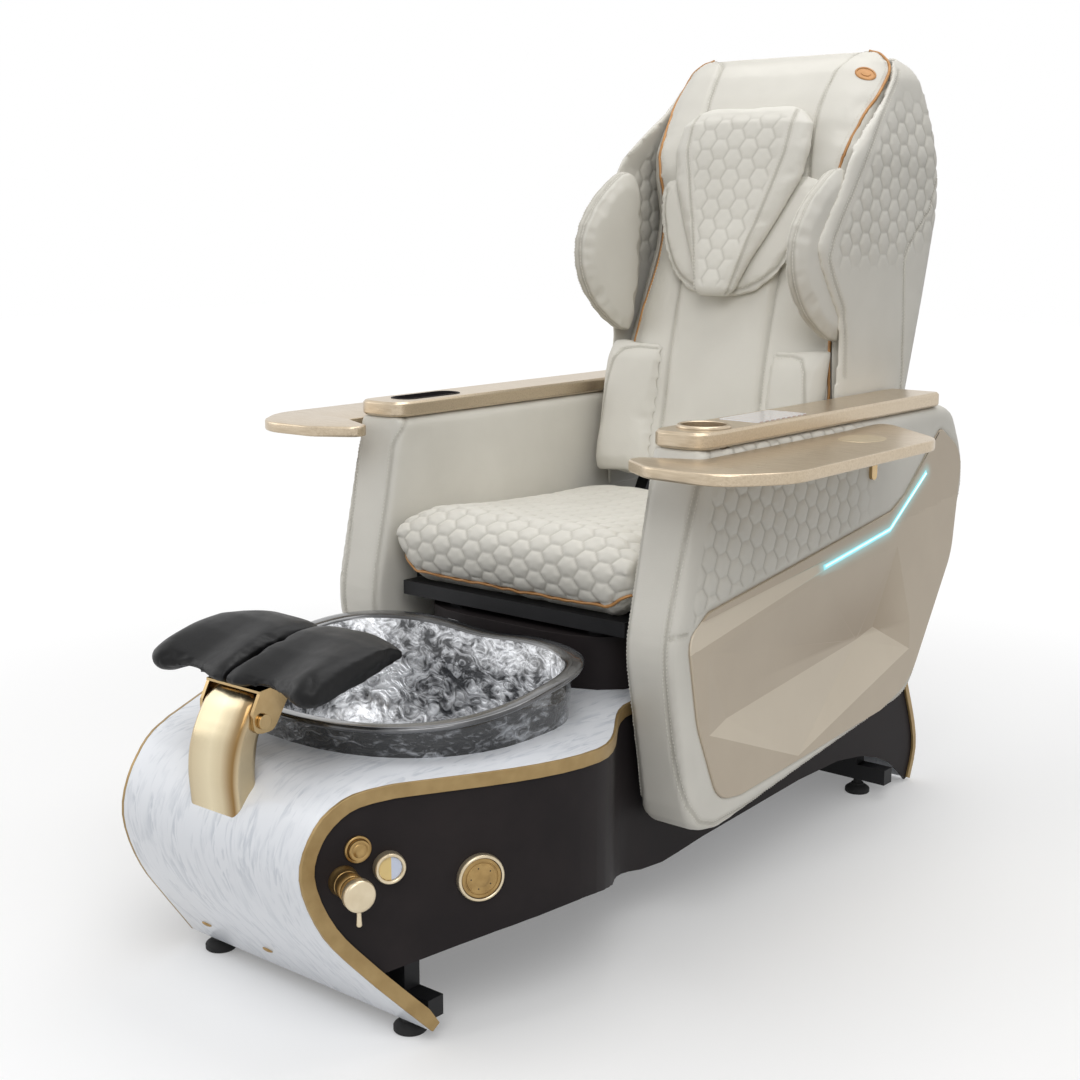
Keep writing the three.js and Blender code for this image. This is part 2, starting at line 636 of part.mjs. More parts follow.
function buildControls() {
  const panel = alongZ(planStrip(1, SKIRT_FACE - GAP, SKIRT_FACE + 30), 100, DECK_Z);
  const place = (geometry, control) => solid(geometry.applyMatrix4(controlFrame(control)));
  // a flange seated on the panel, with a sleeve through the panel's bore
  const seated = (flange, sleeve, control) => (
    place(flange, control).subtract(panel).add(place(sleeve, control))
  );

  const { button, thermometer, mixer, shower } = CONTROLS;
  const inner = BUTTON_R + GAP;
  add('button_bezel', seated(
    ring([[inner, -3], [BUTTON_R + 4, -3], [BUTTON_R + 4, 2.5], [BUTTON_R + 2.5, 4], [inner, 4]]),
    ring([[inner, -18], [BUTTON_R + 3, -18], [BUTTON_R + 3, 2], [inner, 2]]),
    button,
  ), bronze);
  add('air_button', place(turned([
    [0, -14], [BUTTON_R - 3, -14], [BUTTON_R, -12], [BUTTON_R, 4 + BUTTON_TRAVEL],
    [BUTTON_R - 1.5, 5.5 + BUTTON_TRAVEL], [0, 6 + BUTTON_TRAVEL],
  ]), button), bronze);

  add('thermometer_ring', seated(
    ring([[16.5, -3], [22, -3], [22, 11], [20, 13.5], [17.5, 13.5], [16.5, 11]]),
    ring([[10, -20], [18, -20], [18, 2], [16.5, 7], [10, 7]]),
    thermometer,
  ), polishedGold);
  add('thermometer_face', place(turned([[0, 7 + GAP], [16.5 - GAP, 7 + GAP], [16.5 - GAP, 10], [0, 10]]),
    thermometer), dialFace);

  const reach = MIXER_REACH;
  add('mixer_body', seated(
    turned([[0, -3], [MIXER_R - 1, -3], [MIXER_R - 1, 4], [MIXER_R - 5, 9], [MIXER_R - 5, 14],
      [MIXER_R - 3, 15], [MIXER_R - 3, 18], [MIXER_R - 5, 19], [MIXER_R - 5, 25],
      [MIXER_R - 3, 26], [MIXER_R - 3, reach], [0, reach]]),
    turned([[0, -26], [mixer.bore, -26], [mixer.bore, 2], [0, 2]]),
    mixer,
  ), polishedGold);
  const knuckle = turned([[0, reach + GAP], [MIXER_R - 4, reach + GAP], [MIXER_R - 4, reach + 3],
    [9, reach + 6], [9, reach + 15], [7, reach + 17], [0, reach + 17]]);
  const trunnion = (radius, half) => {
    const pin = new THREE.CylinderGeometry(radius, radius, 2 * half, FACETS).rotateZ(Math.PI / 2);
    return place(pin.translate(0, 0, reach + MIXER_TILT_RISE), mixer);
  };
  add('mixer_cartridge', place(knuckle, mixer).add(trunnion(2.5, 13)), polishedGold);
  // the head is a cup that rocks on the cartridge's cross pin, with a short lever at its lower rim
  const head = ring([[10.5, reach + 10], [MIXER_R - 8, reach + 9.5], [MIXER_R, reach + 14],
    [MIXER_R, reach + 25], [MIXER_R - 2, reach + 28], [1e-3, reach + 29], [1e-3, reach + 19],
    [10.5, reach + 19]]);
  const lever = new THREE.CylinderGeometry(3, 3.6, 24, 10).translate(0, -MIXER_R - 8, reach + 19.5);
  const cup = place(head, mixer).add(place(lever, mixer));
  add('mixer_handle', cup.subtract(trunnion(2.5 + GAP, 13 + GAP)), polishedGold);

  const faceR = SHOWER_R - 5;
  add('shower_dock', seated(
    ring([[faceR + GAP, -3], [SHOWER_R, -3], [SHOWER_R, 7], [SHOWER_R - 2, 9], [faceR + GAP, 9]]),
    ring([[14 + GAP, -42], [19, -42], [19, -4], [shower.bore, -4], [shower.bore, 2],
      [faceR + GAP, 2], [faceR + GAP, -1], [14 + GAP, -1]]),
    shower,
  ), polishedGold);
  let face = solid(turned([[0, -95], [9, -95], [14, -88], [14, -GAP], [faceR, -GAP + 1], [faceR, 6],
    [faceR - 2, 7.5], [12, 7.5], [7, 10], [0, 10]]));
  for (let i = 0; i < 4; i += 1) {
    const angle = (i + 0.5) * Math.PI / 2;
    face = face.subtract(cylinder(1.8, 18 * Math.cos(angle), 18 * Math.sin(angle), 4, 9, 8));
  }
  add('shower_head', place(asGeometry(face), shower), bronze);
}

// ---------------------------------------------------------------- footrest
// the post as rounded rectangles one over the other: [height over the pin, front, rear, half width]
const POST_LEVELS = [
  [-175, -46, -2, 6], [-113, -46, -4, 6], [-80, -51, -5, 4], [-50, -52, -3, 2], [-26, -47, 2, 0],
  [-11, -42.5, 10, 0], [0, -38, 17, 0], [19, -30, 23, -2], [30, -19, 24, -5], [36, -8, 20, -10],
];

function buildFootrest() {
  const corner = 9;
  let post = solid(loft(POST_LEVELS.map(([rise, front, rear, flare]) => {
    const half = POST_HALF + flare;
    return rounded([
      [-half, PIN_Y + front, corner], [half, PIN_Y + front, corner],
      [half, PIN_Y + rear, corner], [-half, PIN_Y + rear, corner],
    ]).getPoints().map((p) => new THREE.Vector3(p.x, p.y, PIN_Z + rise));
  })));
  const baseFill = insetCurve([...FRONT_CURVE, [WAIST_Y, DECK_Z]], -GAP);
  post = post.subtract(alongX(polygon([...baseFill, [WAIST_Y, 0]]), -100, 100));
  post = post.subtract(pinX(PIN_R + GAP, -80, 80, PIN_Y, PIN_Z));
  add('footrest_post', post, polishedGold);

  // hinged carrier: two ears beside the post and a sloping plate under the pads
  const ear0 = POST_HALF + GAP;
  const ear1 = ear0 + 6;
  const pin = pinX(PIN_R, -ear1 - GAP, ear1 + GAP, PIN_Y, PIN_Z);
  const cap = (x) => pinX(11, x > 0 ? x : x - 5, x > 0 ? x + 5 : x, PIN_Y, PIN_Z);
  add('footrest_pin', pin.add(cap(ear1 + GAP)).add(cap(-ear1 - GAP)), polishedGold);
  const plateRear = PIN_Y + 120;
  const ear = rounded([
    [PIN_Y - 17, PIN_Z - 17, 17], [PIN_Y + 19, PIN_Z - 17, 17], [PIN_Y + 62, padUnder(PIN_Y + 62) - 1, 6],
    [PIN_Y - 2, padUnder(PIN_Y - 2) - 1, 6], [PIN_Y - 17, PIN_Z + 14, 12],
  ]);
  const plate = polygon([
    [PIN_Y - 4, padUnder(PIN_Y - 4) - GAP], [plateRear, padUnder(plateRear) - GAP],
    [plateRear, padUnder(plateRear) - 4], [PIN_Y - 4, padUnder(PIN_Y - 4) - 4],
  ]);
  const wing = polygon([
    [PIN_Y + 50, padUnder(PIN_Y + 50) - GAP], [plateRear - 10, padUnder(plateRear - 10) - GAP],
    [plateRear - 10, padUnder(plateRear - 10) - 4], [PIN_Y + 50, padUnder(PIN_Y + 50) - 4],
  ]);
  let arm = alongX(plate, -ear1, ear1).add(alongX(wing, 45 - PAD_HALF_WIDTH, PAD_HALF_WIDTH - 45));
  for (const [, side] of SIDES) {
    const [x0, x1] = side > 0 ? [ear0, ear1] : [-ear1, -ear0];
    arm = arm.add(alongX(ear, x0, x1));
  }
  arm = arm.subtract(pinX(PIN_R + GAP, -80, 80, PIN_Y, PIN_Z));
  add('footrest_arm', arm, polishedGold);

  for (const [label, side] of SIDES) add(`footrest_pad_${label}`, footPad(side), blackPad);
}

// height of the pads' flat underside
function padUnder(y) {
  return PIN_Z + PAD_RISE + (PAD_SLOPE * (y - PIN_Y + PAD_FRONT)) / PAD_LENGTH;
}

// one foot pad: crowned, thicker at the rear, its outer corners drawn in, its underside flat
function footPad(side) {
  const stations = 11;
  const around = 22;
  const rings = [];
  for (let i = 0; i < stations; i += 1) {
    const u = (1 - Math.cos((i / (stations - 1)) * Math.PI)) / 2;
    const x = mix(PAD_SPLIT, PAD_HALF_WIDTH, u);
    const round = Math.max(0.5, Math.sqrt(1 - Math.abs(2 * u - 1) ** 7));
    const front = PIN_Y - PAD_FRONT + 14 * u * u + 8 * (1 - round);
    const rear = PIN_Y - PAD_FRONT + PAD_LENGTH - 20 * (1 - round);
    const points = [];
    for (let j = 0; j < around; j += 1) {
      const angle = (j / around) * Math.PI * 2;
      const along = 0.5 + 0.5 * signedPower(Math.cos(angle), 0.7);
      const y = mix(front, rear, along);
      const thick = mix(PAD_FRONT_THICK, PAD_REAR_THICK, smooth(along * 1.6)) * mix(0.75, 1, round);
      const crown = 6 * Math.sin(Math.PI * u) * Math.sin(Math.PI * along);
      const rise = Math.sin(angle);
      const middle = padUnder(y) + PAD_FRONT_THICK * 0.4;
      const z = rise > 0
        ? middle + (thick + crown - PAD_FRONT_THICK * 0.4) * rise ** 0.7
        : middle - PAD_FRONT_THICK * 0.4 * (-rise) ** 0.4;
      points.push(new THREE.Vector3(side * x, y, z));
    }
    rings.push(points);
  }
  return loft(rings);
}

// ---------------------------------------------------------------- plinth, rails and seat
function buildPlinth() {
  const plan = (inset) => rounded([
    [-PLINTH_HALF + inset, PLINTH_FRONT_Y + inset, PLINTH_CORNER - inset],
    [PLINTH_HALF - inset, PLINTH_FRONT_Y + inset, PLINTH_CORNER - inset],
    [PLINTH_HALF - inset, PLINTH_REAR_Y - inset, 20],
    [-PLINTH_HALF + inset, PLINTH_REAR_Y - inset, 20],
  ], 5);
  const outside = alongZ(plan(0), DECK_Z + GAP, PLINTH_TOP_Z);
  add('seat_plinth', outside.subtract(alongZ(plan(6), DECK_Z - 1, PLINTH_TOP_Z - 6)), blackPanel);
  for (const [label, side] of SIDES) {
    const rail = [side, RAIL_X - RAIL_WIDTH / 2, RAIL_X + RAIL_WIDTH / 2];
    const span = [PLINTH_FRONT_Y + 50, PLINTH_REAR_Y - 10];
    add(`slide_rail_${label}`, sideBox(...rail, ...span, PLINTH_TOP_Z + GAP, RAIL_TOP_Z), brightSteel);
  }
}

function buildSeat() {
  const panHalf = ARM_INNER_X - GAP;
  const panFront = SEAT_FRONT_Y + 34;
  const panRear = BACK_PIVOT_Y + 20;
  let frame = box(-panHalf, panHalf, panFront + 60, SEAT_REAR_Y, PAN_Z, PAN_Z + PAN_THICK);
  frame = frame.add(box(-SEAT_HALF + 20, SEAT_HALF - 20, panFront, panRear, PAN_Z, PAN_Z + PAN_THICK));
  frame = frame.subtract(box(-SEAT_HALF + 26, SEAT_HALF - 26, panFront + 6, panRear - 6, PAN_Z - 1,
    PAN_Z + PAN_THICK - 5));
  const lug = rounded([
    [BACK_PIVOT_Y - 46, PAN_Z + PAN_THICK - 8, 0], [BACK_PIVOT_Y + 20, PAN_Z + PAN_THICK - 8, 0],
    [BACK_PIVOT_Y + 20, BACK_PIVOT_Z + 20, 20], [BACK_PIVOT_Y - 20, BACK_PIVOT_Z + 20, 20],
  ]);
  for (const [, side] of SIDES) {
    const wall = RAIL_WIDTH / 2 + GAP;
    const runner = [PLINTH_FRONT_Y + 60, PLINTH_REAR_Y - 20 - SLIDE_TRAVEL];
    const channelTop = RAIL_TOP_Z + GAP;
    let channel = sideBox(side, RAIL_X - wall - RUNNER_WALL, RAIL_X + wall + RUNNER_WALL, ...runner,
      RAIL_TOP_Z - RAIL_HEIGHT + 2, PAN_Z + PAN_THICK - 4);
    channel = channel.subtract(sideBox(side, RAIL_X - wall, RAIL_X + wall, -600, 700, 0, channelTop));
    frame = frame.add(channel);
    const [x0, x1] = side > 0 ? [204, 214] : [-214, -204];
    frame = frame.add(alongX(lug, x0, x1));
  }
  frame = frame.subtract(pinX(BACK_PIVOT_R + GAP, -230, 230, BACK_PIVOT_Y, BACK_PIVOT_Z));
  add('seat_frame', frame, blackSteel);
  const pin = pinX(BACK_PIVOT_R, -220, 220, BACK_PIVOT_Y, BACK_PIVOT_Z);
  add('recline_pin', pin, brightSteel);
  add('seat_cushion', seatCushion(), leather);
}

// the seat: a deep rolled front, a shallow dish for the sitter and sides drawn in at the seam
function seatCushion() {
  const stations = 21;
  const rings = [];
  for (let i = 0; i < stations; i += 1) {
    const u = -Math.cos((i / (stations - 1)) * Math.PI);
    const x = SEAT_HALF * u;
    const edge = Math.abs(u) ** 7;
    const crown = 16 * (1 - u * u) - 9 * Math.exp(-((u / 0.45) ** 2));
    const draw = 14 * edge;
    const top = SEAT_UNDER_Z + SEAT_THICK - 12 - draw + crown;
    const rearTop = SEAT_UNDER_Z + SEAT_REAR_THICK - 8 - draw + crown * 0.6;
    const corner = 44 * smooth((Math.abs(x) - (SEAT_HALF - 46)) / 46);
    const under = SEAT_UNDER_Z + corner * 0.9;
    const front = SEAT_FRONT_Y + 8 + 10 * edge;
    rings.push(seatSection(x, front, SEAT_REAR_Y - draw, under, top, rearTop, corner));
  }
  return loft(rings);
}

// one fore-and-aft section of the seat as a closed ring
function seatSection(x, front, rear, under, top, rearTop, corner) {
  const points = [];
  const roll = (top - SEAT_UNDER_Z) / 2;
  const noseZ = mix(under, top, 0.55);
  const lower = noseZ - under;
  const upper = top - noseZ;
  for (let j = 0; j <= 9; j += 1) {
    const angle = (j / 9) * Math.PI;
    const reach = roll * 1.05 * Math.sin(angle) ** 0.8;
    const z = noseZ - Math.cos(angle) * (angle < Math.PI / 2 ? lower : upper);
    points.push([front + roll * 1.05 - reach + (angle < Math.PI / 2 ? corner * 0.2 : 0), z]);
  }
  for (let j = 1; j <= 9; j += 1) {
    const t = j / 9;
    const dish = 6 * Math.sin(Math.PI * t);
    points.push([mix(front + roll * 1.05, rear - 14, t), mix(top, rearTop, t) - dish]);
  }
  points.push([rear - 3, rearTop - 10], [rear, rearTop - 30], [rear, under + 24], [rear - 6, under + 4]);
  for (let j = 0; j < 5; j += 1) points.push([mix(rear - 20, front + roll * 1.05 + 24, j / 4), under]);
  return points.map(([y, z]) => new THREE.Vector3(x, y, z));
}

// ---------------------------------------------------------------- arms
// side outline of the arm panel, clockwise from the top of its front edge
function armOutline() {
  return rounded([
    [ARM_FRONT_Y + 68, ARM_TOP_Z, 0],
    [ARM_FRONT_Y - 2, ARM_FRONT_Z + 10, 170],
    [ARM_FRONT_Y + 52, ARM_BOTTOM_Z + 10, 70],
    [ARM_FRONT_Y + 130, ARM_BOTTOM_Z - 3, 60],
    [ARM_FRONT_Y + 760, ARM_BOTTOM_Z + 78, 90],
    [ARM_REAR_Y + 8, ARM_REAR_Z - 20, 260],
    [ARM_REAR_Y - 60, ARM_TOP_Z - 14, 90],
    [BAR_REAR_Y + 24, ARM_TOP_Z, 30],
  ]);
}

const INLAY_CORNERS = [
  [ARM_FRONT_Y + 34, 500, 34], [ARM_FRONT_Y + 86, 535, 14], [445, 612, 12], [494, 636, 10],
  [622, 742, 16], [712, 690, 60], [ARM_REAR_Y - 50, 500, 120], [540, 280, 120],
  [ARM_REAR_Y - 300, 250, 60], [ARM_FRONT_Y + 186, 218, 60], [ARM_FRONT_Y + 122, 226, 60],
  [ARM_FRONT_Y + 62, 360, 160],
];

function inlayShape(inset) {
  const centre = [ARM_FRONT_Y + 460, 430];
  return rounded(INLAY_CORNERS.map(([y, z, r]) => {
    const length = Math.hypot(y - centre[0], z - centre[1]);
    const pull = inset / length;
    return [y - (y - centre[0]) * pull, z - (z - centre[1]) * pull, r];
  }), 3);
}

// light strip: a bent bar that follows the upper edge of the inlay
function lightShape(grow) {
  const line = [[213, 549], [438, 580], [568, 667]];
  const half = LIGHT_WIDTH / 2 + grow;
  const normals = [new THREE.Vector2(-31, 225), new THREE.Vector2(-74, 190), new THREE.Vector2(-87, 130)];
  const upper = line.map(([y, z], i) => {
    const n = normals[i].clone().normalize();
    return [y + n.x * half, z + n.y * half];
  });
  const lower = line.map(([y, z], i) => {
    const n = normals[i].clone().normalize();
    return [y - n.x * half, z - n.y * half];
  });
  upper[0][0] -= grow;
  lower[0][0] -= grow;
  upper[2][0] += grow;
  lower[2][0] += grow;
  return polygon([...upper, ...lower.reverse()]);
}

// the scoop in the inlay: a slanting face that runs in to a crease, and a ledge that runs out again
function scoopCutter() {
  const face = ARM_OUTER_X + INLAY_PROUD + 1;
  const deep = ARM_OUTER_X + INLAY_PROUD - SCOOP_DEPTH;
  const corners = [
    [face, ARM_FRONT_Y + 92, 340], [face, ARM_FRONT_Y + 84, 470], [face, 200, 534], [face, 470, 545],
    [face, 528, 400], [face, 531, 345], [face, 150, 238],
    [deep + 18, ARM_FRONT_Y + 150, 352], [deep, 378, 388], [deep + 4, 430, 402],
  ];
  return solid(new ConvexGeometry(corners.map(([x, y, z]) => new THREE.Vector3(x, y, z))));
}

function buildArms() {
  const inlayInner = ARM_OUTER_X - INLAY_DEPTH;
  const inlayFace = ARM_OUTER_X + INLAY_PROUD;
  for (const [label, side] of SIDES) {
    const place = (body) => (side > 0 ? body : mirrorX(body));
    let panel = alongX(armOutline(), ARM_INNER_X, ARM_OUTER_X, ARM_ROUND, 2);
    panel = panel.subtract(alongX(inlayShape(0), inlayInner - GAP, ARM_OUTER_X + 10));
    const wellHole = cylinder(CUP_R + 2 + GAP, ARM_MID_X, CUP_Y, BAR_TOP_Z - CUP_DEPTH - GAP, 900, 24);
    const pocketHole = alongZ(pocketShape(GAP), BAR_TOP_Z - POCKET_DEPTH - GAP, 900);
    panel = panel.subtract(side > 0 ? wellHole : pocketHole);
    add(`arm_panel_${label}`, place(panel), leather);

    let inlay = alongX(inlayShape(GAP), inlayInner, inlayFace);
    const lightBack = inlayFace - LIGHT_DEPTH;
    inlay = inlay.subtract(scoopCutter()).subtract(alongX(lightShape(GAP), lightBack - GAP, inlayFace + 5));
    add(`arm_inlay_${label}`, place(inlay), inlayPaint);
    add(`arm_light_${label}`, place(alongX(lightShape(0), lightBack, inlayFace + 0.5)), lightStrip);

    const barPlan = rounded([
      [ARM_INNER_X, BAR_FRONT_Y, 34], [ARM_OUTER_X, BAR_FRONT_Y, 34],
      [ARM_OUTER_X, BAR_REAR_Y, 12], [ARM_INNER_X, BAR_REAR_Y, 12],
    ], 4);
    let bar = alongZ(barPlan, ARM_TOP_Z + GAP, BAR_TOP_Z, 4, 1).subtract(side > 0 ? wellHole : pocketHole);
    if (side > 0) bar = bar.subtract(alongZ(screenShape(GAP), BAR_TOP_Z - SCREEN_THICK, BAR_TOP_Z + 5));
    add(`arm_bar_${label}`, place(bar), champagne);
  }

  const floor = BAR_TOP_Z - CUP_DEPTH;
  const cup = turned([
    [0, floor], [CUP_R + 2, floor], [CUP_R + 2, BAR_TOP_Z + GAP], [CUP_R + 7, BAR_TOP_Z + GAP],
    [CUP_R + 7, BAR_TOP_Z + 3], [CUP_R + 4, BAR_TOP_Z + 5], [CUP_R, BAR_TOP_Z + 4], [CUP_R, floor + 3],
    [0, floor + 3],
  ], 24);
  add('cup_holder', cup.translate(ARM_MID_X, CUP_Y, 0), polishedGold);
  const pocketFloor = BAR_TOP_Z - POCKET_DEPTH;
  const pocket = alongZ(pocketShape(0), pocketFloor, BAR_TOP_Z + 1.5);
  add('remote_pocket', mirrorX(pocket.subtract(alongZ(pocketShape(-3), pocketFloor + 3, 900))), blackPanel);
  add('control_screen', alongZ(screenShape(0), BAR_TOP_Z - SCREEN_THICK + GAP, BAR_TOP_Z + 1), screenGlass);
}

function pocketShape(grow) {
  const half = POCKET_WIDTH / 2 + grow;
  const long = POCKET_LENGTH / 2 + grow;
  return rounded([
    [ARM_MID_X - half, POCKET_Y - long, half], [ARM_MID_X + half, POCKET_Y - long, half],
    [ARM_MID_X + half, POCKET_Y + long, half], [ARM_MID_X - half, POCKET_Y + long, half],
  ], 5);
}

function screenShape(grow) {
  const half = SCREEN_WIDTH / 2 + grow;
  const long = SCREEN_LENGTH / 2 + grow;
  return rounded([
    [ARM_MID_X - half, SCREEN_Y - long, 8], [ARM_MID_X + half, SCREEN_Y - long, 8],
    [ARM_MID_X + half, SCREEN_Y + long, 8], [ARM_MID_X - half, SCREEN_Y + long, 8],
  ], 3);
}

// ---------------------------------------------------------------- trays
function buildTrays() {
  const edge = ARM_OUTER_X + 8;
  const nose = PIVOT_X - ARM_OUTER_X - 2;
  const plan = rounded([
    [edge, BAR_FRONT_Y - 14, 10], [258, BAR_FRONT_Y - 62, 22], [ARM_OUTER_X - 14, BAR_FRONT_Y - 122, 60],
    [ARM_OUTER_X + 108, BAR_FRONT_Y - 128, 90], [TRAY_HALF_SPAN, BAR_FRONT_Y - 30, 120],
    [TRAY_HALF_SPAN - 3, PIVOT_Y - 100, 80], [PIVOT_X + nose, PIVOT_Y + nose, 24],
    [PIVOT_X - nose, PIVOT_Y + nose, nose], [PIVOT_X - nose + 1, PIVOT_Y - 40, 30],
    [edge, PIVOT_Y - 120, 30],
  ], 4);
  const under = TRAY_TOP_Z - TRAY_THICK;
  for (const [label, side] of SIDES) {
    const place = (body) => (side > 0 ? body : mirrorX(body));
    let tray = alongZ(plan, under, TRAY_TOP_Z, 3, 1);
    tray = tray.subtract(cylinder(PIVOT_R + GAP, PIVOT_X, PIVOT_Y, under - 1, TRAY_TOP_Z - 5));
    add(`tray_${label}`, place(tray), champagne);

    // bracket: a slim round-ended plate on the arm with a lug and an upright pin
    const face = ARM_OUTER_X + GAP;
    const plate = rounded([
      [PIVOT_Y - BRACKET_HALF, under - 6, 0], [PIVOT_Y + BRACKET_HALF, under - 6, 0],
      [PIVOT_Y + BRACKET_HALF, under - BRACKET_LENGTH, 9],
      [PIVOT_Y - BRACKET_HALF, under - BRACKET_LENGTH, 9],
    ]);
    let bracket = alongX(plate, face, face + 6);
    bracket = bracket.add(box(face, PIVOT_X + 9, PIVOT_Y - BRACKET_HALF, PIVOT_Y + BRACKET_HALF, under - 14,
      under - GAP));
    bracket = bracket.add(cylinder(PIVOT_R, PIVOT_X, PIVOT_Y, under - 2, TRAY_TOP_Z - 5 - GAP));
    add(`tray_bracket_${label}`, place(bracket), polishedGold);
  }
}

// ---------------------------------------------------------------- backrest
// centre lines of the backrest as [z, y]: the front of the cushion, and its back on the frame
const BACK_FRONT_LINE = [
  [622, 372], [680, 387], [740, 402], [850, 422], [1000, 457], [1120, 492], [1220, 522], [1320, 563],
  [1390, 612], [1420, 650],
];
const BACK_EDGE_LINE = [
  [622, 410], [740, 436], [850, 456], [1000, 491], [1120, 520], [1190, 508], [1235, 516], [1284, 548],
  [1328, 590], [1381, 642], [1428, 656],
];
const BACK_REAR_LINE = [[622, 470], [740, 484], [1000, 556], [1220, 632], [1320, 650], [1420, 662]];

function lineAt(line, z) {
  for (let i = 1; i < line.length; i += 1) {
    if (z <= line[i][0] || i === line.length - 1) {
      return mix(line[i - 1][1], line[i][1], (z - line[i - 1][0]) / (line[i][0] - line[i - 1][0]));
    }
  }
  return line[0][1];
}

// half width of the front cover: broad at the seat, narrow between the wings, broad again at the head
function coverHalf(z) {
  const stops = [
    [622, 23], [800, 19], [890, 33], [1060, 61], [1180, 57], [1270, 45], [1340, 29], [1390, 31], [1420, 60],
  ];
  const t = stops.findIndex(([height]) => height >= z);
  if (t <= 0) return BACK_HALF - stops[t < 0 ? stops.length - 1 : 0][1];
  const [[z0, inset0], [z1, inset1]] = [stops[t - 1], stops[t]];
  return BACK_HALF - mix(inset0, inset1, smooth((z - z0) / (z1 - z0)));
}

function backCushion() {
  const levels = [];
  for (let i = 0; i <= 17; i += 1) levels.push(mix(622, 1385, i / 17));
  levels.push(1404, 1418, BACK_TOP_Z);
  const rings = levels.map((z, i) => {
    const last = i === levels.length - 1;
    const end = i === 0 ? 0.94 : 1;
    const half = (last ? 166 : coverHalf(z)) * end;
    const front = last ? 646 : lineAt(BACK_FRONT_LINE, z) + (i === 0 ? 8 : 0);
    const rear = last ? 660 : lineAt(BACK_REAR_LINE, z);
    return backSection(z, half, front, rear);
  });
  return loft(rings);
}

// one level section: padded column between two seams, padded sides, flat back
function backSection(z, half, front, rear) {
  const points = [];
  const columns = 20;
  for (let j = 0; j <= columns; j += 1) {
    const u = -1 + (2 * j) / columns;
    const x = half * signedPower(u, 0.92);
    const seam = Math.exp(-(((Math.abs(x) - COLUMN_HALF) / 9) ** 2));
    const side = Math.min(lineAt(BACK_EDGE_LINE, z), rear - 8) - front;
    points.push(new THREE.Vector3(x, front + 7 * seam * (z < 1150 ? 1 : 0) + side * Math.abs(u) ** 5, z));
  }
  for (let j = 0; j <= 4; j += 1) points.push(new THREE.Vector3(mix(half - 6, 6 - half, j / 4), rear, z));
  return points;
}

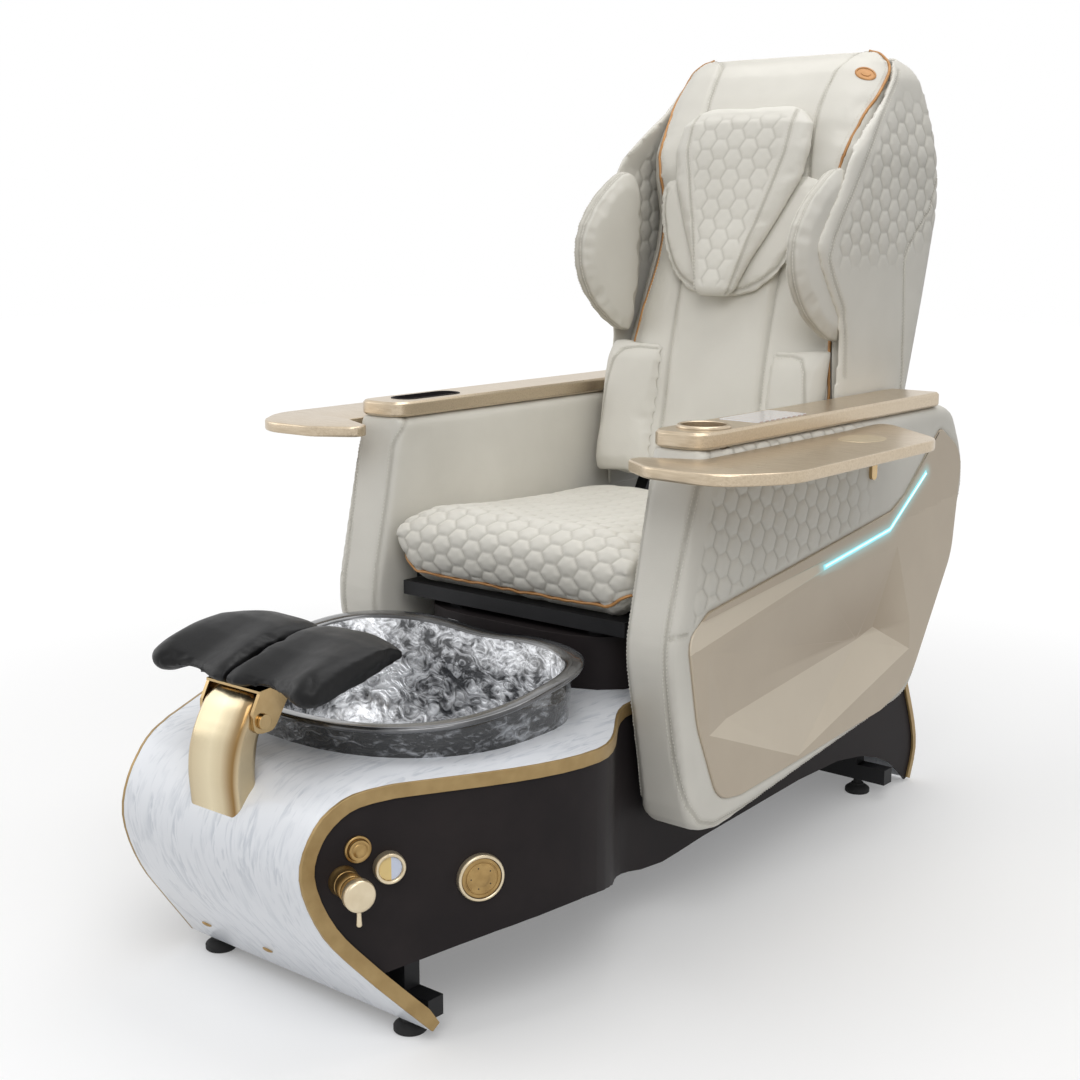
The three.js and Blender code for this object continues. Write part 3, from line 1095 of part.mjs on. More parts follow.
function buildBack() {
  // moulded rear shell with forward wings
  const side = [
    ...through([[420, 590], [420, 790], [428, 850], [434, 893]], 5),
    ...through([[426, 945], [383, 1002], [350, 1058], [362, 1098], [417, 1166], [440, 1207]], 10),
    ...through([[460, 1235], [533, 1284], [595, 1325], [645, 1378], [684, 1412]], 7),
    ...through([[722, 1392], [752, 1327], [781, 1236], [791, 1137], [759, 998], [699, 798], [648, 640]], 16),
    [600, 590],
  ];
  const outerFront = rounded([
    [-BACK_HALF, 560, 0], [BACK_HALF, 560, 0], [BACK_HALF, 1230, 95], [BACK_HALF - 25, 1374, 60],
    [BACK_HALF - 85, BACK_TOP_Z + 6, 50], [85 - BACK_HALF, BACK_TOP_Z + 6, 50],
    [25 - BACK_HALF, 1374, 60], [-BACK_HALF, 1230, 95],
  ], 4);
  let shell = alongX(polygon(side), -BACK_HALF, BACK_HALF, SHELL_ROUND, 3);
  shell = shell.intersect(alongY(outerFront, 200, 900));
  const rearLine = through([
    [706, 1376], [734, 1314], [762, 1230], [772, 1135], [740, 1000], [680, 802], [632, 650],
  ], 16);
  const hollow = [[588, 560], [200, 560], [200, 1500], [690, 1500], [690, 1398], ...rearLine];
  const inner = BACK_HALF - BACK_WALL;
  const hollowFront = rounded([
    [-inner, 540, 0], [inner, 540, 0], [inner, 1210, 0], [inner - 24, 1362, 0],
    [inner - 88, 1500, 0], [88 - inner, 1500, 0], [24 - inner, 1362, 0], [-inner, 1210, 0],
  ]);
  shell = shell.subtract(alongX(polygon(hollow), -inner, inner).intersect(alongY(hollowFront, 100, 1000)));
  add('back_shell', shell, leather);

  const whole = solid(backCushion());
  const shifts = [[GAP, 0, 0], [-GAP, 0, 0], [0, -GAP, 0]];
  const cushion = shifts.reduce((body, shift) => body.subtract(shell.translate(shift)), whole);
  add('back_cushion', cushion, leather);
  const aheadOfCushion = cushion.translate([0, -GAP, 0]);

  // steel frame: two bent side tubes, cross tubes that hold the shell, lugs on the recline pin
  const railFront = BACK_REAR_LINE.filter(([z]) => z < 1350).map(([z, y]) => [y + GAP, z]);
  const railBack = railFront.map(([y, z]) => [y + 25, z]).reverse();
  const railShape = polygon([
    [BACK_PIVOT_Y - 16, BACK_PIVOT_Z], [BACK_PIVOT_Y - 4, BACK_PIVOT_Z + 40], ...railFront, ...railBack,
    [BACK_PIVOT_Y + 18, BACK_PIVOT_Z + 4], [BACK_PIVOT_Y + 8, BACK_PIVOT_Z - 16],
    [BACK_PIVOT_Y - 8, BACK_PIVOT_Z - 16],
  ]);
  let frame = null;
  for (const [, sign] of SIDES) {
    const [x0, x1] = sign > 0 ? [178, 203.7] : [-203.7, -178];
    const rail = alongX(railShape, x0, x1);
    frame = frame ? frame.add(rail) : rail;
  }
  for (const z of [700, 960]) {
    const y = lineAt(BACK_REAR_LINE, z) + GAP + 4;
    frame = frame.add(box(-inner + GAP, inner - GAP, y, y + TUBE, z, z + TUBE));
  }
  frame = frame.add(box(-190, 190, 668, 690, 1296, 1318));
  frame = frame.subtract(pinX(BACK_PIVOT_R + GAP, -240, 240, BACK_PIVOT_Y, BACK_PIVOT_Z));
  frame = frame.subtract(cushion.translate([0, GAP, 0]));
  add('back_frame', frame, blackSteel);

  for (const [label, sign] of SIDES) {
    const place = (body) => (sign > 0 ? body : mirrorX(body));
    add(`shoulder_pad_${label}`, place(shoulderPad()).subtract(aheadOfCushion), leather);
    add(`lumbar_pad_${label}`, place(lumbarPad()).subtract(aheadOfCushion), leather);
  }
  const pillow = solid(headPillow());
  add('head_pillow', pillow, leather);
  const nape = solid(neckPad()).subtract(aheadOfCushion).subtract(pillow.translate([0, GAP, 0]));
  add('neck_pad', nape, leather);
}

// wing cushion: lines the inner face of a wing and bulges forward past the shell's edge
function shoulderPad() {
  const outline = [
    [452, 893], [395, 914], [339, 957], [305, 1006], [295, 1050], [303, 1097], [340, 1147], [394, 1190],
    [440, 1212], [470, 1202], [488, 1150], [494, 1080], [488, 1000], [474, 930],
  ];
  const edge = new THREE.CatmullRomCurve3(outline.map(([y, z]) => new THREE.Vector3(0, y, z)), true);
  const middle = [400, 1050];
  const outer = BACK_HALF - BACK_WALL - GAP;
  const sections = [[0, 0.8], [3, 0.93], [9, 1], [24, 1], [31, 0.94], [35, 0.82], [37, 0.5]];
  return solid(loft(sections.map(([depth, spread]) => edge.getPoints(24).slice(0, 24).map((p) => (
    new THREE.Vector3(outer - depth, mix(middle[0], p.y, spread), mix(middle[1], p.z, spread))
  )))));
}

// wedge-shaped bolster beside the column, thick at its outer edge
function lumbarPad() {
  const rings = [];
  for (let i = 0; i <= 9; i += 1) {
    const t = i / 9;
    const z = mix(634, 886, (1 - Math.cos(t * Math.PI)) / 2);
    const v = (z - 634) / 252;
    const round = Math.max(0.25, (1 - Math.abs(2 * v - 1) ** 6) ** 0.5);
    const points = [];
    for (let j = 0; j < 18; j += 1) {
      const angle = (j / 18) * Math.PI * 2;
      const u = 0.5 + 0.5 * signedPower(Math.cos(angle), 0.7);
      const x = mix(COLUMN_HALF + 4, BACK_HALF - BACK_WALL - 6, u);
      const plump = mix(10, 46, u) * round;
      const base = lineAt(BACK_FRONT_LINE, z) + 12;
      const depth = Math.sin(angle);
      const y = depth > 0 ? base - (plump + 12) * depth ** 0.7 : base - 14 * depth;
      points.push(new THREE.Vector3(x, y, z));
    }
    rings.push(points);
  }
  return solid(loft(rings));
}

// head pillow: broad at the head, tapering to the nape
const PILLOW_LEVELS = [
  [970, 34, 402, 424], [984, 48, 396, 430], [1040, 72, 416, 448], [1110, 110, 440, 470],
  [1190, 146, 462, 500], [1245, 152, 474, 518], [1290, 146, 490, 535], [1312, 120, 508, 545],
  [1322, 92, 530, 548],
];

function headPillow() {
  const rings = PILLOW_LEVELS.map(([z, half, front, rear]) => {
    const points = [];
    for (let j = 0; j < 22; j += 1) {
      const angle = (j / 22) * Math.PI * 2;
      const x = half * signedPower(Math.cos(angle), 0.8);
      const depth = Math.sin(angle);
      const middle = mix(front, rear, 0.7);
      const y = depth > 0 ? mix(middle, front, depth ** 0.7) : mix(middle, rear, (-depth) ** 0.6);
      points.push(new THREE.Vector3(x, y, z));
    }
    return points;
  });
  return loft(rings);
}

// crescent pad under the pillow, wider than it at the nape
function neckPad() {
  const levels = [
    [972, 40], [982, 78], [1012, 118], [1060, 150], [1115, 172], [1165, 182], [1188, 172], [1196, 150],
  ];
  const rings = levels.map(([z, half]) => {
    const points = [];
    for (let j = 0; j < 20; j += 1) {
      const angle = (j / 20) * Math.PI * 2;
      const x = half * signedPower(Math.cos(angle), 0.85);
      const front = lineAt(BACK_FRONT_LINE, z) - 26;
      const depth = Math.sin(angle);
      points.push(new THREE.Vector3(x, depth > 0 ? front + 8 - 8 * depth : front + 8 + 24 * -depth, z));
    }
    return points;
  });
  return loft(rings);
}

// screw caps on the lower front of the base
function buildEyelets() {
  for (const [label, x] of [['right', -166], ['left', -27]]) {
    const skin = insetCurve(FRONT_CURVE, -GAP);
    const step = skin.findIndex(([, z]) => z > EYELET_Z);
    const [at, next] = [skin[step], skin[step + 1]];
    const tilt = Math.atan2(next[1] - at[1], next[0] - at[0]);
    const cap = new THREE.SphereGeometry(1, 14, 7).scale(11, 4.5, 3);
    const body = solid(cap.rotateX(tilt).translate(x, at[0], at[1]));
    const inside = insetCurve([...FRONT_CURVE, [WAIST_Y, DECK_Z]], -GAP);
    add(`eyelet_${label}`, body.subtract(alongX(polygon([...inside, [WAIST_Y, 0]]), -300, 100)), bronze);
  }
}

buildBase();
buildFrame();
buildBowl();
buildEyelets();
buildControls();
buildFootrest();
buildPlinth();
buildSeat();
buildArms();
buildTrays();
buildBack();

export default group;
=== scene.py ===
"""Pedicure spa chair: the looks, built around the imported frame. Shapes are worked out in millimetres."""
import itertools
import json
import math

import bmesh
import bpy
import numpy as np
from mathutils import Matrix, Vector
from mathutils.bvhtree import BVHTree
from mathutils.geometry import delaunay_2d_cdt

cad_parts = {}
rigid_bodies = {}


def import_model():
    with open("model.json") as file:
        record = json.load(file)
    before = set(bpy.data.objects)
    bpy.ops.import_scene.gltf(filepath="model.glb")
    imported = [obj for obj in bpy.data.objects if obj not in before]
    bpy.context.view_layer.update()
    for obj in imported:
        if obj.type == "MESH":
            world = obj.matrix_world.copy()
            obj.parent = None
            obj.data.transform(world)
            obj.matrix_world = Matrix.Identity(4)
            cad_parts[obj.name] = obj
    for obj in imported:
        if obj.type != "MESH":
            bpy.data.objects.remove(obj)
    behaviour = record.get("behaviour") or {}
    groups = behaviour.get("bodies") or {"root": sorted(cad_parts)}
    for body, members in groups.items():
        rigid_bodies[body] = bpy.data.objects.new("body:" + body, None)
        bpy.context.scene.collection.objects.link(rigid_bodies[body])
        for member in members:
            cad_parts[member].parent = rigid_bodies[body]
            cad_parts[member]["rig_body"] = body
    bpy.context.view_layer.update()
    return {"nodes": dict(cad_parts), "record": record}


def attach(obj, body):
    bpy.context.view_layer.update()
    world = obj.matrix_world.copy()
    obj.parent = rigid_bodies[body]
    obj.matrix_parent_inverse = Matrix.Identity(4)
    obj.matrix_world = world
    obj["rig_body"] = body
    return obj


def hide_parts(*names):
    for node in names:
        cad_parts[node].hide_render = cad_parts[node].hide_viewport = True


for leftover in list(bpy.data.objects):
    bpy.data.objects.remove(leftover)

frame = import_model()
MM = 0.001
MERGE = 2e-5  # metres between points that count as one
EDGE_ANGLE = 32  # degrees between the faces of an edge that is eased
SIDES = (("left", 1), ("right", -1))
SLOT = {part["node"]: part["material_slot"] for part in frame["record"]["subparts"]}
scene = bpy.context.scene


# ---------------------------------------------------------------- camera
CAMERA_PLACE = (1.7209, -2.1468, 1.130)
CAMERA_TURN = (90 - 11.27, 39.84)
camera_data = bpy.data.cameras.new("camera")
camera_data.lens = 55.03
camera_data.sensor_width = 36
camera_data.clip_end = 60
camera = bpy.data.objects.new("camera", camera_data)
camera.location = CAMERA_PLACE
camera.rotation_euler = (math.radians(CAMERA_TURN[0]), 0, math.radians(CAMERA_TURN[1]))
scene.collection.objects.link(camera)
scene.camera = camera


# ---------------------------------------------------------------- numbers
def mix(a, b, t):
    return a + (b - a) * t


def smooth(t):
    """0 below 0, 1 above 1, and the smooth step 3t^2 - 2t^3 between."""
    t = np.clip(t, 0, 1)
    return t * t * (3 - 2 * t)


def signed_power(value, power):
    return np.sign(value) * np.abs(value) ** power


def table(stops, at):
    """Straight lines between (place, value) stops."""
    places, values = zip(*stops)
    return np.interp(at, places, values)


def spline(points, count, closed=False):
    """A Catmull-Rom curve through the points, sampled evenly in its parameter."""
    p = np.asarray(points, float)
    ring = len(p) if closed else len(p) - 1
    t = np.linspace(0, ring, count, endpoint=not closed)
    i = np.minimum(t.astype(int), ring - 1)
    f = (t - i)[:, None]
    if closed:
        a, b, c, d = (p[(i + k) % len(p)] for k in (-1, 0, 1, 2))
    else:
        a, b, c, d = (p[np.clip(i + k, 0, len(p) - 1)] for k in (-1, 0, 1, 2))
    return 0.5 * (2 * b + (c - a) * f + (2 * a - 5 * b + 4 * c - d) * f ** 2
                  + (3 * b - 3 * c + d - a) * f ** 3)


def even(path, pitch):
    """The path's points again, one every pitch millimetres along it."""
    p = np.asarray(path, float)
    run = np.concatenate([[0], np.cumsum(np.linalg.norm(np.diff(p, axis=0), axis=1))])
    places = np.linspace(0, run[-1], max(2, round(run[-1] / pitch) + 1))
    return np.stack([np.interp(places, run, p[:, k]) for k in range(p.shape[1])], 1)


def turns(count):
    """The angles of count points spaced evenly round a circle."""
    return np.linspace(0, 2 * math.pi, count, endpoint=False)


def mirrored(points, side):
    """The points as given for the left side, 1, or mirrored for the right side, -1."""
    return np.asarray(points, float) * np.array([side, 1, 1])


# ---------------------------------------------------------------- meshes
def piece(name, verts, faces, look, body, slot, replaced=(), angle=40):
    """One object from points in millimetres and a list of face arrays. Faces are turned outwards."""
    mesh = bpy.data.meshes.new(name)
    mesh.from_pydata(np.asarray(verts) * MM, [], [tuple(f) for block in faces for f in block])
    return finished(mesh, name, look, body, slot, replaced, angle)


def finished(mesh, name, look, body, slot, replaced=(), angle=40, turn=True):
    """Links a mesh as a piece: outward normals, smooth up to an angle, its look and body. The slot is not
    used.
    """
    work = bmesh.new()
    work.from_mesh(mesh)
    if turn:
        bmesh.ops.recalc_face_normals(work, faces=work.faces[:])
        if work.calc_volume(signed=True) < 0:
            bmesh.ops.reverse_faces(work, faces=work.faces[:])
    for edge in work.edges:
        edge.smooth = len(edge.link_faces) == 2 and edge.calc_face_angle(0) < math.radians(angle)
    for face in work.faces:
        face.smooth = True
    work.to_mesh(mesh)
    work.free()
    obj = bpy.data.objects.new(name, mesh)
    scene.collection.objects.link(obj)
    for one in look if isinstance(look, list) else [look]:
        mesh.materials.append(one.material)
    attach(obj, body)
    if replaced:
        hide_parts(*replaced)
    return obj


def quads(rows, columns, wrap=False):
    """Faces of a grid of points, row after row, each row closed on itself."""
    r = np.arange(rows if wrap else rows - 1)[:, None]
    c = np.arange(columns)[None, :]
    r2, c2 = (r + 1) % rows, (c + 1) % columns
    corners = r * columns + c, r * columns + c2, r2 * columns + c2, r2 * columns + c
    return np.stack(np.broadcast_arrays(*corners), -1).reshape(-1, 4)


def loft(rings, wrap=False):
    """Rings of points joined in order; unless it wraps, each end is closed by one face."""
    rings = np.asarray(rings, float)
    rows, columns = rings.shape[:2]
    faces = [quads(rows, columns, wrap)]
    if not wrap:
        faces.append([list(range(columns))[::-1]])
        faces.append([list(range((rows - 1) * columns, rows * columns))])
    return rings.reshape(-1, 3), faces


def joined(*shapes):
    """Several shapes, each of points and face arrays, as one."""
    verts, faces, start = [], [], 0
    for points, blocks in shapes:
        verts.append(points)
        faces += [[[i + start for i in face] for face in block] for block in blocks]
        start += len(points)
    return np.concatenate(verts), faces


def normals_along(path):
    """Two unit normals at every point of a path, carried along it without twist."""
    p = np.asarray(path, float)
    tangent = np.gradient(p, axis=0)
    tangent /= np.linalg.norm(tangent, axis=1)[:, None]
    normal = np.empty_like(p)
    seed = np.eye(3)[np.argmin(np.abs(tangent[0]))]
    for i, t in enumerate(tangent):
        seed = seed - t * (seed @ t)
        seed /= np.linalg.norm(seed)
        normal[i] = seed
    return normal, np.cross(tangent, normal)


def tube(path, radius):
    """A round cord: a circle of the radius carried along the path."""
    normal, across = normals_along(path)
    turn = turns(8)[None, :, None]
    circle = np.cos(turn) * normal[:, None] + np.sin(turn) * across[:, None]
    return loft(np.asarray(path)[:, None] + radius * circle)


def turned(profile, place, sides=56):
    """A profile of [radius, height] turned about the placed axis."""
    origin, across, up, out = place
    profile = np.array([[max(r, 1e-3), h] for r, h in profile], float)
    radius, height = profile[:, 0, None, None], profile[:, 1, None, None]
    turn = turns(sides)[:, None]
    circle = np.cos(turn) * np.asarray(across) + np.sin(turn) * np.asarray(up)
    return np.asarray(origin) + radius * circle + height * np.asarray(out)


def rounded(corners, steps=10):
    """A closed outline: each corner [u, v, radius] becomes an arc, as far as its sides allow."""
    corners = np.asarray(corners, float)
    points = []
    for i, (u, v, radius) in enumerate(corners):
        here = np.array([u, v])
        before = corners[i - 1][:2] - here
        after = corners[(i + 1) % len(corners)][:2] - here
        a, b = np.linalg.norm(before), np.linalg.norm(after)
        before, after = before / a, after / b
        half = math.acos(np.clip(before @ after, -1, 1)) / 2
        cut = min(radius / max(math.tan(half), 1e-6), 0.49 * a, 0.49 * b)
        if radius <= 0 or cut < 1e-6:
            points.append(here)
            continue
        start, end = here + before * cut, here + after * cut
        t = np.linspace(0, 1, steps + 1)[:, None]
        weight = math.sin(half)
        bottom = (1 - t) ** 2 + 2 * weight * t * (1 - t) + t ** 2
        points += list(((1 - t) ** 2 * start + 2 * weight * t * (1 - t) * here + t ** 2 * end) / bottom)
    return np.array(points)


def slab(outline, low, high, bevel, steps=4):
    """A level plate from a closed outline: its edges are quarter circles of the bevel's radius."""
    edge = np.roll(outline, -1, 0) - np.roll(outline, 1, 0)
    normal = np.stack([edge[:, 1], -edge[:, 0]], 1) / np.linalg.norm(edge, axis=1)[:, None]
    area = np.sum(outline[:, 0] * np.roll(outline[:, 1], -1) - np.roll(outline[:, 0], -1) * outline[:, 1])
    normal *= np.sign(area)
    turn = np.linspace(0, math.pi / 2, steps + 1)
    levels = [(low + bevel * (1 - math.sin(t)), bevel * (1 - math.cos(t))) for t in turn[::-1]]
    levels += [(high - bevel * (1 - math.sin(t)), bevel * (1 - math.cos(t))) for t in turn]
    return loft([np.insert(outline - normal * inset, 2, height, axis=1) for height, inset in levels])


def merged(name, nodes, flat_angle=0.0):
    """The meshes of CAD nodes as one, its doubled points joined, and its faces too up to a flat angle."""
    work = bmesh.new()
    for node in nodes:
        work.from_mesh(frame["nodes"][node].data)
    bmesh.ops.remove_doubles(work, verts=work.verts[:], dist=MERGE)
    if flat_angle:
        bmesh.ops.dissolve_limit(work, angle_limit=math.radians(flat_angle), verts=work.verts[:],
                                 edges=work.edges[:])
    mesh = bpy.data.meshes.new(name)
    work.to_mesh(mesh)
    work.free()
    return mesh


def copied(node, look, bevel):
    """A CAD node's mesh with its edges eased by a bevel."""
    name = node + "_finished"
    obj = finished(merged(name, [node], 0.6), name, look, body_of(node), SLOT[node], (node,), EDGE_ANGLE,
                   turn=False)
    if bevel:
        ease = obj.modifiers.new("ease", "BEVEL")
        ease.width = bevel * MM
        ease.segments = 2
        ease.limit_method = "ANGLE"
        ease.angle_limit = math.radians(EDGE_ANGLE)
        ease.harden_normals = True


def keep(obj, name, values, domain="POINT"):
    """Stores a number for every point or face, for the looks to read."""
    values = np.asarray(values, np.float32)
    obj.data.attributes.new(name, "FLOAT", domain).data.foreach_set("value", values)


def body_of(node):
    return frame["nodes"][node]["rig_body"]


# ---------------------------------------------------------------- looks
def colour(red, green, blue):
    """A screen colour from 0 to 255 as linear light."""
    c = np.array([red, green, blue]) / 255
    return (*np.where(c <= 0.04045, c / 12.92, ((c + 0.055) / 1.055) ** 2.4), 1)


class Wire:
    """A shader value that takes part in sums: each operator adds one Math node."""

    def __init__(self, look, socket):
        self.look, self.socket = look, socket

    def sum(self, operation, first, second):
        return self.look.node("ShaderNodeMath", {"operation": operation}, {0: first, 1: second})

    def __add__(self, other):
        return self.sum("ADD", self, other)

    def __sub__(self, other):
        return self.sum("SUBTRACT", self, other)

    def __rsub__(self, other):
        return self.sum("SUBTRACT", other, self)

    def __mul__(self, other):
        return self.sum("MULTIPLY", self, other)

    def __pow__(self, other):
        return self.sum("POWER", self, other)

    __radd__ = __add__
    __rmul__ = __mul__


class Nodes:
    """A node tree, and the one method that adds a node to it."""

    def __init__(self, tree):
        self.tree = tree

    def join(self, socket, value):
        if isinstance(value, Wire):
            self.tree.links.new(value.socket, socket)
        else:
            socket.default_value = value

    def node(self, kind, settings=None, inputs=None, out=0):
        made = self.tree.nodes.new(kind)
        for key, value in (settings or {}).items():
            if key == "stops":
                ramp = made.color_ramp.elements
                while len(ramp) < len(value):
                    ramp.new(0.5)
                for stop, (place, tint) in zip(ramp, value):
                    stop.position, stop.color = place, tint
            else:
                setattr(made, key, value)
        for key, value in (inputs or {}).items():
            self.join(made.inputs[key], value)
        return Wire(self, made.outputs[out])

    def seen(self):
        """1 for what the camera sees, straight or by mirror or glass, and 0 for light on the object."""
        seen = self.node("ShaderNodeLightPath", out="Is Camera Ray")
        for kind in ("Is Glossy Ray", "Is Transmission Ray"):
            ray = self.node("ShaderNodeLightPath", out=kind)
            seen = self.node("ShaderNodeMath", {"operation": "MAXIMUM"}, {0: seen, 1: ray})
        return seen


class Look(Nodes):
    """One material: a Principled shader with its constants, and short names for the nodes in use."""

    def __init__(self, name, base, roughness, metallic=0.0, **constants):
        self.material = bpy.data.materials.new(name)
        self.material.use_nodes = True
        super().__init__(self.material.node_tree)
        self.shader = self.tree.nodes["Principled BSDF"]
        self.put("Base Color", base)
        self.put("Roughness", roughness)
        self.put("Metallic", metallic)
        for key, value in constants.items():
            self.put(key.replace("_", " ").title().replace("Ior", "IOR"), value)

    def put(self, socket, value):
        self.join(self.shader.inputs[socket], value)

    def coordinates(self):
        return self.node("ShaderNodeTexCoord", out="Object")

    def along(self, axis):
        return self.node("ShaderNodeSeparateXYZ", None, {0: self.coordinates()}, "XYZ"[axis])

    def place(self, stretch=(1, 1, 1), turn=(0, 0, 0)):
        return self.node("ShaderNodeMapping", None, {
            "Vector": self.coordinates(), "Scale": stretch, "Rotation": turn})

    def noise(self, scale, detail=2.0, stretch=(1, 1, 1), distortion=0.0, turn=(0, 0, 0)):
        return self.node("ShaderNodeTexNoise", None, {
            "Vector": self.place(stretch, turn), "Scale": scale, "Detail": detail, "Distortion": distortion})

    def cells(self, scale, stretch=(1, 1, 1)):
        return self.node("ShaderNodeTexVoronoi", None, {
            "Vector": self.place(stretch), "Scale": scale}, "Distance")

    def attribute(self, name):
        return self.node("ShaderNodeAttribute", {"attribute_name": name}, None, "Fac")

    def ramp(self, value, stops):
        """Maps a value to greys between (place, grey) stops."""
        greys = [(place, (grey, grey, grey, 1)) for place, grey in stops]
        return self.node("ShaderNodeValToRGB", {"stops": greys}, {"Fac": value})

    def blend(self, factor, first, second):
        return self.node("ShaderNodeMix", {"data_type": "RGBA"}, {0: factor, 6: first, 7: second}, 2)

    def bump(self, height, distance, strength=1.0, over=None):
        inputs = {"Height": height, "Distance": distance, "Strength": strength}
        if over:
            inputs["Normal"] = over
        wire = self.node("ShaderNodeBump", None, inputs)
        self.put("Normal", wire)
        return wire


def leather_look(name, tint, dark, roughness=0.5, grain=0.00022, scale=520, shine=0.42):
    """Leather: pebbled grain, faint colour drift, creases rougher than the crowns and darkened by painted
    shade.
    """
    look = Look(name, tint, roughness, specular_ior_level=shine)
    crease = look.attribute("crease")
    drift = look.noise(7, 3)
    worn = look.ramp(drift, [(0.3, 0.0), (0.75, 0.22)])
    shade = look.blend(worn, tint, dark)
    # painted shade: the colour is darkened where the leather is creased, along seams and quilting
    look.put("Base Color", look.blend(crease * 0.6, shade, dark))
    look.put("Roughness", look.noise(60, 2) * 0.16 + (roughness - 0.08) + crease * 0.15)
    pebbles = look.cells(scale)
    creep = look.noise(38, 4)
    first = look.bump(creep, 0.0009, 0.35)
    look.bump(pebbles, grain, 0.55, first)
    return look


def brushed_look(name, tint, other, roughness, metallic, stretch=(60, 3, 60)):
    """Brushed or satin metal: long fine lines in the roughness, a faint drift in the colour."""
    look = Look(name, tint, roughness, metallic)
    lines = look.noise(9, 3, stretch)
    look.put("Base Color", look.blend(look.ramp(lines, [(0.35, 0.0), (0.7, 0.6)]), tint, other))
    look.put("Roughness", lines * 0.14 + (roughness - 0.07))
    look.bump(lines, 0.00004, 0.5)
    return look


def moulded_look(name, tint, other, roughness, scale=300, depth=0.00008, metallic=0.0, **constants):
    """Moulded or painted surface: fine texture with small patches of another tone."""
    look = Look(name, tint, roughness, metallic, **constants)
    patches = look.noise(11, 4)
    look.put("Base Color", look.blend(look.ramp(patches, [(0.4, 0.0), (0.72, 0.7)]), tint, other))
    look.put("Roughness", patches * 0.12 + (roughness - 0.06))
    look.bump(look.noise(scale, 2), depth, 0.6)
    return look


LEATHER = leather_look("cream_leather", colour(219, 216, 207), colour(164, 160, 149))
PIPING = moulded_look("copper_piping", colour(186, 136, 82), colour(150, 104, 58), 0.38, 600, 0.00012,
                      0.25)
THREAD = moulded_look("thread", colour(236, 233, 225), colour(200, 196, 184), 0.7, 900, 0.0002)
CHAMPAGNE = brushed_look("champagne_satin", colour(206, 190, 166), colour(178, 160, 134), 0.3, 0.85,
                         (3, 40, 40))
GOLD_BAND = brushed_look("gold_band", colour(168, 142, 96), colour(142, 116, 72), 0.42, 0.5, (4, 4, 4))
POLISHED = brushed_look("polished_gold", colour(198, 172, 128), colour(176, 146, 100), 0.2, 1.0, (3, 3, 3))
PALE_GOLD = brushed_look("pale_gold", colour(222, 208, 180), colour(198, 180, 148), 0.3, 0.8, (4, 4, 4))
BRONZE = brushed_look("antique_bronze", colour(176, 146, 96), colour(120, 94, 56), 0.34, 0.9, (5, 5, 5))
STEEL = brushed_look("bright_steel", colour(200, 202, 204), colour(170, 172, 176), 0.25, 1.0)
BLACK_PANEL = moulded_look("black_panel", colour(33, 29, 30), colour(44, 39, 39), 0.55, 420, 0.00012,
                           specular_ior_level=0.14)
BLACK_STEEL = moulded_look("black_steel", colour(26, 26, 28), colour(40, 40, 42), 0.5, 500, 0.00008, 0.5)
RUBBER = moulded_look("black_rubber", colour(20, 20, 20), colour(34, 34, 34), 0.8, 350, 0.0002)
PAD = leather_look("black_pad", colour(15, 15, 16), colour(7, 7, 8), 0.42, 0.0003, 700, 0.24)
GREY = moulded_look("grey_plastic", colour(143, 146, 150), colour(128, 130, 134), 0.5)


def white_shell_look():
    """White moulded skin with faint grey wisps that run along the base, over the nose and down it."""
    look = Look("white_shell", colour(236, 240, 244), 0.34, coat_weight=0.3, coat_roughness=0.12)
    strokes = look.noise(7, 6, (6, 1.3, 1.1), 0.7)
    wisps = look.noise(17, 6, (4.6, 1.0, 0.9), 1.5, (0.12, 0.3, 0.2))
    mask = look.ramp(strokes, [(0.4, 0.0), (0.62, 0.9)])
    fine = look.ramp(wisps, [(0.47, 0.0), (0.60, 1.0)])
    look.put("Base Color", look.blend(mask * fine * 0.6, colour(237, 240, 245), colour(186, 193, 203)))
    look.put("Roughness", wisps * 0.12 + 0.28)
    look.bump(wisps, 0.0003, 0.45)
    return look


def crackle_look(name, dark, pale, balance, spread, roughness, metallic, stretch=(1, 1, 1.3)):
    """Crackled glass over foil: crumpled facets of light and dark, thicker in some places than in others."""
    look = Look(name, dark, roughness, metallic, coat_weight=1.0, coat_roughness=0.03, specular_ior_level=0.6)
    flow = look.noise(34, 6, stretch, 2.4)
    facets = look.cells(30, stretch)
    veins = look.node("ShaderNodeTexNoise", {"noise_type": "RIDGED_MULTIFRACTAL"}, {
        "Vector": look.place(stretch), "Scale": 24.0, "Detail": 5.0, "Distortion": 1.6})
    clouds = look.noise(6.5, 3)
    level = flow * 0.62 + facets * 0.3 + veins * 0.1 + clouds * 0.5
    light = look.ramp(level, [(balance, 0.0), (balance + spread, 1.0)])
    look.put("Base Color", look.blend(light, dark, pale))
    look.put("Roughness", flow * 0.3 + (roughness - 0.1))
    first = look.bump(veins, 0.0025, 0.6)
    look.bump(flow, 0.006, 0.8, first)
    return look


WHITE = white_shell_look()
GLASS_OUTSIDE = crackle_look("smoke_glass", colour(22, 23, 25), colour(178, 181, 186), 0.70, 0.26, 0.2, 0.3,
                             (1, 1, 2.2))
GLASS_INSIDE = crackle_look("foil_glass", colour(46, 48, 52), colour(236, 238, 242), 0.60, 0.24, 0.22, 0.5)
# the rim's paler patches are painted highlights on the dark glass
GLASS_RIM = moulded_look("rim_glass", colour(24, 24, 26), colour(120, 121, 124), 0.14, 60, 0.0012, 0.2,
                         coat_weight=1.0, coat_roughness=0.04)


